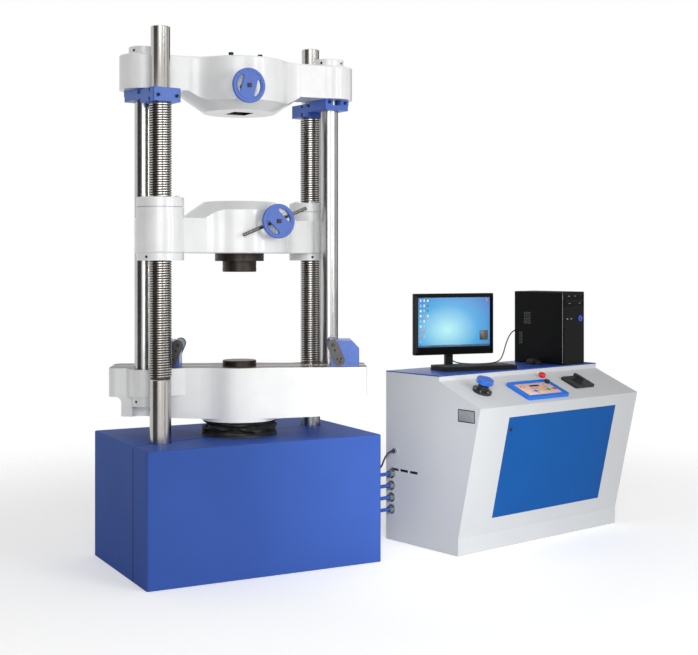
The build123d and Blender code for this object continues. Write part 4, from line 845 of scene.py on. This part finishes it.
# Computer tower: black steel case with a gloss front, two drive doors with two bright
# bars each, two sockets, a blue ring switch, vents in its side and a bright corner trim.
tower_corner = Vector((0.995, -0.05, 0))
tower = desk @ Matrix.Translation(tower_corner) @ rotated(4, "Z")
tower_front = tower @ moved(0.0975, -0.364) @ rotated(90, "X")
drive = plate("drive_doors", 0.172, 0.036, 0.0016, 0.003, 0.0007)
sink(drive, 0.0035, 0.0006)
door_places = [tower_front @ moved(0, height) for height in (0.392, 0.352)]
seat(copies("drive_doors", drive, door_places), gloss_black, "base")
eject = plate("eject_bars", 0.016, 0.003, 0.0010, 0.001, 0.0003)
eject_places = [tower_front @ moved(x, height, 0.0010) for x, height in (
    (-0.055, 0.400), (0.005, 0.400), (-0.048, 0.358), (0.052, 0.358))]
seat(copies("eject_bars", eject, eject_places), bare_metal, "base")
switch_height = 0.268
socket = plate("tower_sockets", 0.014, 0.006, 0.0014, 0.001, 0.0005)
sink(socket, 0.0012, 0.001)
socket_places = [tower_front @ moved(x, switch_height) for x in (-0.068, -0.030)]
seat(copies("tower_sockets", socket, socket_places), bare_metal, "base")
switch_at = tower_front @ moved(0.06, switch_height)
switch = turned("tower_switch", [(0, 0.0012), (0.010, 0.0012), (0.0115, 0.0035), (0.0165, 0.0035),
                                 (0.0185, 0.0), (0, 0)], 36)
switch_blue = finish_of("switch_blue", tint(50, 96, 232), 0.25, coat=0.3, patch=0.01, change=0.2)
seat(switch, switch_blue, "base", switch_at)
switch_cap = turned("switch_cap", [(0, 0.0030), (0.007, 0.0028), (0.0095, 0.0016), (0.0095, 0.001),
                                   (0, 0.001)], 28)
seat(switch_cap, plastic_black, "base", switch_at)
louvre = plate("tower_louvres", 0.010, 0.0045, 0.0012, 0.0015, 0.0005)
outward = tower.to_3x3() @ Vector((-1, 0, 0))
louvre_places = []
louvre_step = 0.013
louvre_rise = 0.0092
for back, height, columns in ((0.075, 0.235, 4), (0.040, 0.115, 2)):
    for column in range(columns):
        for row in range(8):
            spot = tower @ Vector((0, -back - louvre_step * column, height + louvre_rise * row))
            louvre_places.append(facing(spot, outward))
louvre_grey = finish_of("louvre_grey", tint(96, 104, 106), 0.5, metal=0.4, patch=0.01, change=0.3)
seat(copies("tower_louvres", louvre, louvre_places), louvre_grey, "base")
trim = plate("tower_trim", 0.003, 0.41, 0.0012, 0.001, 0.0004)
seat(trim, bare_metal, "base", facing(tower @ Vector((0, -0.352, 0.2125)), outward))

# Cover seam: thin dark strips along the joint between the two covers, on the top
# between the screws and the skirt, and down the left and right sides; they are a
# painted shade for the gap between the covers.
seam_shade_black = finish_of("seam_shade_black", tint(18, 19, 26), 0.6, patch=0.02, change=0.2, sheen=0.2)
seam_shade_thick = 0.0006
cover_top = 0.6499
cover_side = 0.6259
seam_shade_spans = ((-0.641, -0.556), (-0.426, -0.208), (0.208, 0.426), (0.556, 0.641))
seam_x, seam_y = screw_centres["right"]
seam_turn = Matrix.Rotation(atan2(seam_y, seam_x), 4, "Z")
# Painted shade: dark strips along the joint of the covers stand for the shade in the gap between
# them.
for number, (start, end) in enumerate(seam_shade_spans):
    strip = plate(f"cover_seam_shade_{number}", end - start, 0.0055, seam_shade_thick, 0, 0.0003)
    seat(strip, seam_shade_black, "base",
         seam_turn @ moved((start + end) / 2, 0, cover_top))
for number, side in enumerate((-1, 1)):
    strip = plate(f"side_seam_shade_{number}", 0.009, 0.638, seam_shade_thick, 0, 0.0003)
    seat(strip, seam_shade_black, "base",
         facing((side * cover_side, side * cover_side * seam_y / seam_x, 0.323), (side, 0, 0)))

# Pipes and fittings: four steel tubes painted with the base, screwed into zinc-plated
# unions on the base and on the console.
dress(base_enamel, "hydraulic_pipes")
dress(zinc, "pipe_fittings")

# Cords: a black monitor lead from the tower to the monitor's neck, and a black
# sensor lead from the console's side down to the base. Both are smooth round cable.
cord_rubber = finish_of("cord_rubber", tint(30, 30, 31), 0.5, patch=0.02, change=0.2, grain=0.001)


def cable(name, points, diameter, **facts):
    """Round cable along a smooth line that is drawn by its points."""
    bpy.ops.object.select_all(action="DESELECT")
    bpy.ops.curve.primitive_nurbs_path_add()
    lead = bpy.context.object
    lead.name = name
    line = lead.data
    line.splines.clear()
    spline = line.splines.new("NURBS")
    spline.points.add(len(points) - 1)
    for knot, point in zip(spline.points, points):
        knot.co = (*point, 1)
    spline.order_u = 3
    spline.use_endpoint_u = True
    spline.resolution_u = 12
    line.dimensions = "3D"
    line.bevel_depth = diameter / 2
    line.bevel_resolution = 4
    line.use_fill_caps = True
    line.materials.append(cord_rubber)
    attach(lead, "base")
    return lead


monitor_route = [tower @ Vector(point) for point in (
    (0.03, 0, 0.19), (0.03, 0.026, 0.19), (0, 0.04, 0.16))]
monitor_route += [desk @ (tower_corner + Vector(point)) for point in (
    (-0.038, 0.038, 0.106), (-0.08, 0.020, 0.048), (-0.14, -0.008, 0.012), (-0.22, -0.026, 0.005),
    (-0.305, -0.014, 0.004), (-0.385, 0.014, 0.006), (-0.455, 0.036, 0.014), (-0.505, 0.042, 0.036))]
monitor_route += [monitor_foot @ Vector((0, back, 0.06)) for back in (0.039, 0.013)]
monitor_lead = cable("monitor_lead", monitor_route, 0.007, length=0.729, far_end="object",
                     stiffness="medium", lay="loose")
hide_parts("monitor_cable")
gland = console @ Vector((0, -0.079, 0.496))
away = -(console.to_3x3() @ Vector((1, 0, 0)))
sensor_route = [
    gland + away * 0.016, gland + away * 0.046, gland + away * 0.078 + Vector((0, 0.006, -0.034)),
    gland + away * 0.1 + Vector((0, 0.014, -0.092)), Vector((0.782, 0.068, 0.346)),
    Vector((0.718, 0.06, 0.3)), Vector((0.642, 0.06, 0.3)),
]
sensor_lead = cable("sensor_lead", sensor_route, 0.010, length=0.385, far_end="object",
                    stiffness="medium", lay="hanging")
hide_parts("side_cable")

# Floor and light: a pale floor that runs out into a white surround, two large soft lamps
# in front, a weak one overhead and a spot for the console's side. Four dark flags off the
# picture only show as dark streaks in the polished steel.
bpy.ops.object.select_all(action="DESELECT")
bpy.ops.mesh.primitive_plane_add(size=60, location=(0, 0, -0.001))
floor = bpy.context.object
floor.name = "floor"
floor_white = finish_of("floor_white", tint(246, 246, 246), 0.9, patch=4, change=0.01)
floor_lift = 0.34
floor_near = 1.9
floor_far = 4.6
tree = floor_white.node_tree
paint = tree.nodes["Principled BSDF"]
middle = add_node(tree, "Mapping", {"Vector": add_node(tree, "TexCoord").outputs["Object"],
                                    "Location": (-0.75, 0, 0)})
reach = add_node(tree, "VectorMath", {0: middle.outputs["Vector"]}, operation="LENGTH")
fade = add_node(tree, "MapRange", {"Value": reach.outputs["Value"], "From Min": floor_near,
                                   "From Max": floor_far}, interpolation_type="SMOOTHSTEP")
watched = add_node(tree, "LightPath").outputs["Is Camera Ray"]
feed(paint, {"Emission Color": (1, 1, 1, 1),
             "Emission Strength": worked_out(tree, "MULTIPLY", watched, floor_lift)})
clear = add_node(tree, "BsdfTransparent")
run_out = add_node(tree, "MixShader", {"Fac": fade.outputs["Result"], 1: paint.outputs["BSDF"],
                                       2: clear.outputs["BSDF"]})
feed(tree.nodes["Material Output"], {"Surface": run_out.outputs["Shader"]})
floor.data.materials.append(floor_white)
for name, place, aim, size, power in (
    ("key", (3.2, -7.4, 2.6), (0.6, 0, 1.0), 4.0, 240),
    ("fill", (-3.2, -7.2, 2.6), (0.2, 0, 1.1), 4.0, 150),
    ("top", (0.5, -0.5, 6.5), (0.6, 0, 0), 5.0, 20),
    ("side", (-0.4, -2.8, 1.5), (0.95, -0.2, 0.5), 0.5, 230),
):
    bpy.ops.object.light_add(type="SPOT" if name == "side" else "AREA", location=place)
    light = bpy.context.object
    light.name = name
    light.data.energy = power
    if name == "side":
        light.data.shadow_soft_size = size
        light.data.spot_size = radians(36)
        light.data.spot_blend = 0.9
    else:
        light.data.shape = "DISK"
        light.data.size = size
    light.rotation_euler = (Vector(aim) - Vector(place)).to_track_quat("-Z", "Y").to_euler()
flag_black = finish_of("flag_black", tint(78, 75, 74), 0.9, patch=1, change=0.1)
flag_height = 6
flag_stand = moved(6.5, 0, 2.0) @ rotated(90, "Y")
for count, (bearing, width) in enumerate(((-66, 1.4), (192, 6.5), (-18, 1.2), (24, 4.0))):
    bpy.ops.object.select_all(action="DESELECT")
    bpy.ops.mesh.primitive_plane_add(size=1)
    flag = bpy.context.object
    flag.name = f"flag_{count}"
    flag.data.transform(rotated(bearing, "Z") @ flag_stand
                        @ Matrix.Diagonal((flag_height, width, 1, 1)))
    flag.data.materials.append(flag_black)
    flag.visible_camera = flag.visible_diffuse = flag.visible_shadow = False
surround = bpy.data.worlds.new("surround")
bpy.context.scene.world = surround
surround.use_nodes = True
tree = surround.node_tree
ray = add_node(tree, "LightPath").outputs
seen = worked_out(tree, "MAXIMUM", ray["Is Camera Ray"], ray["Is Glossy Ray"])
through = worked_out(tree, "MAXIMUM", seen, ray["Is Transmission Ray"])
level = add_node(tree, "MapRange", {"Value": through, "To Min": 0.4, "To Max": 1.0})
feed(tree.nodes["Background"], {"Color": (1, 1, 1, 1), "Strength": level.outputs["Result"]})

# Camera: level, at eye height, in front of the left corner of the base. The lens is
# shifted down so that the columns stay upright in the picture.
eye = (-2.519, -5.905, 1.539)
heading = -28.14
bpy.ops.object.camera_add(location=eye, rotation=(radians(90), 0, radians(heading)))
camera = bpy.context.object
camera.data.sensor_width = 36
camera.data.lens = 64.11
camera.data.shift_y = -0.096
bpy.context.scene.camera = camera
bpy.context.scene.view_settings.view_transform = "Standard"
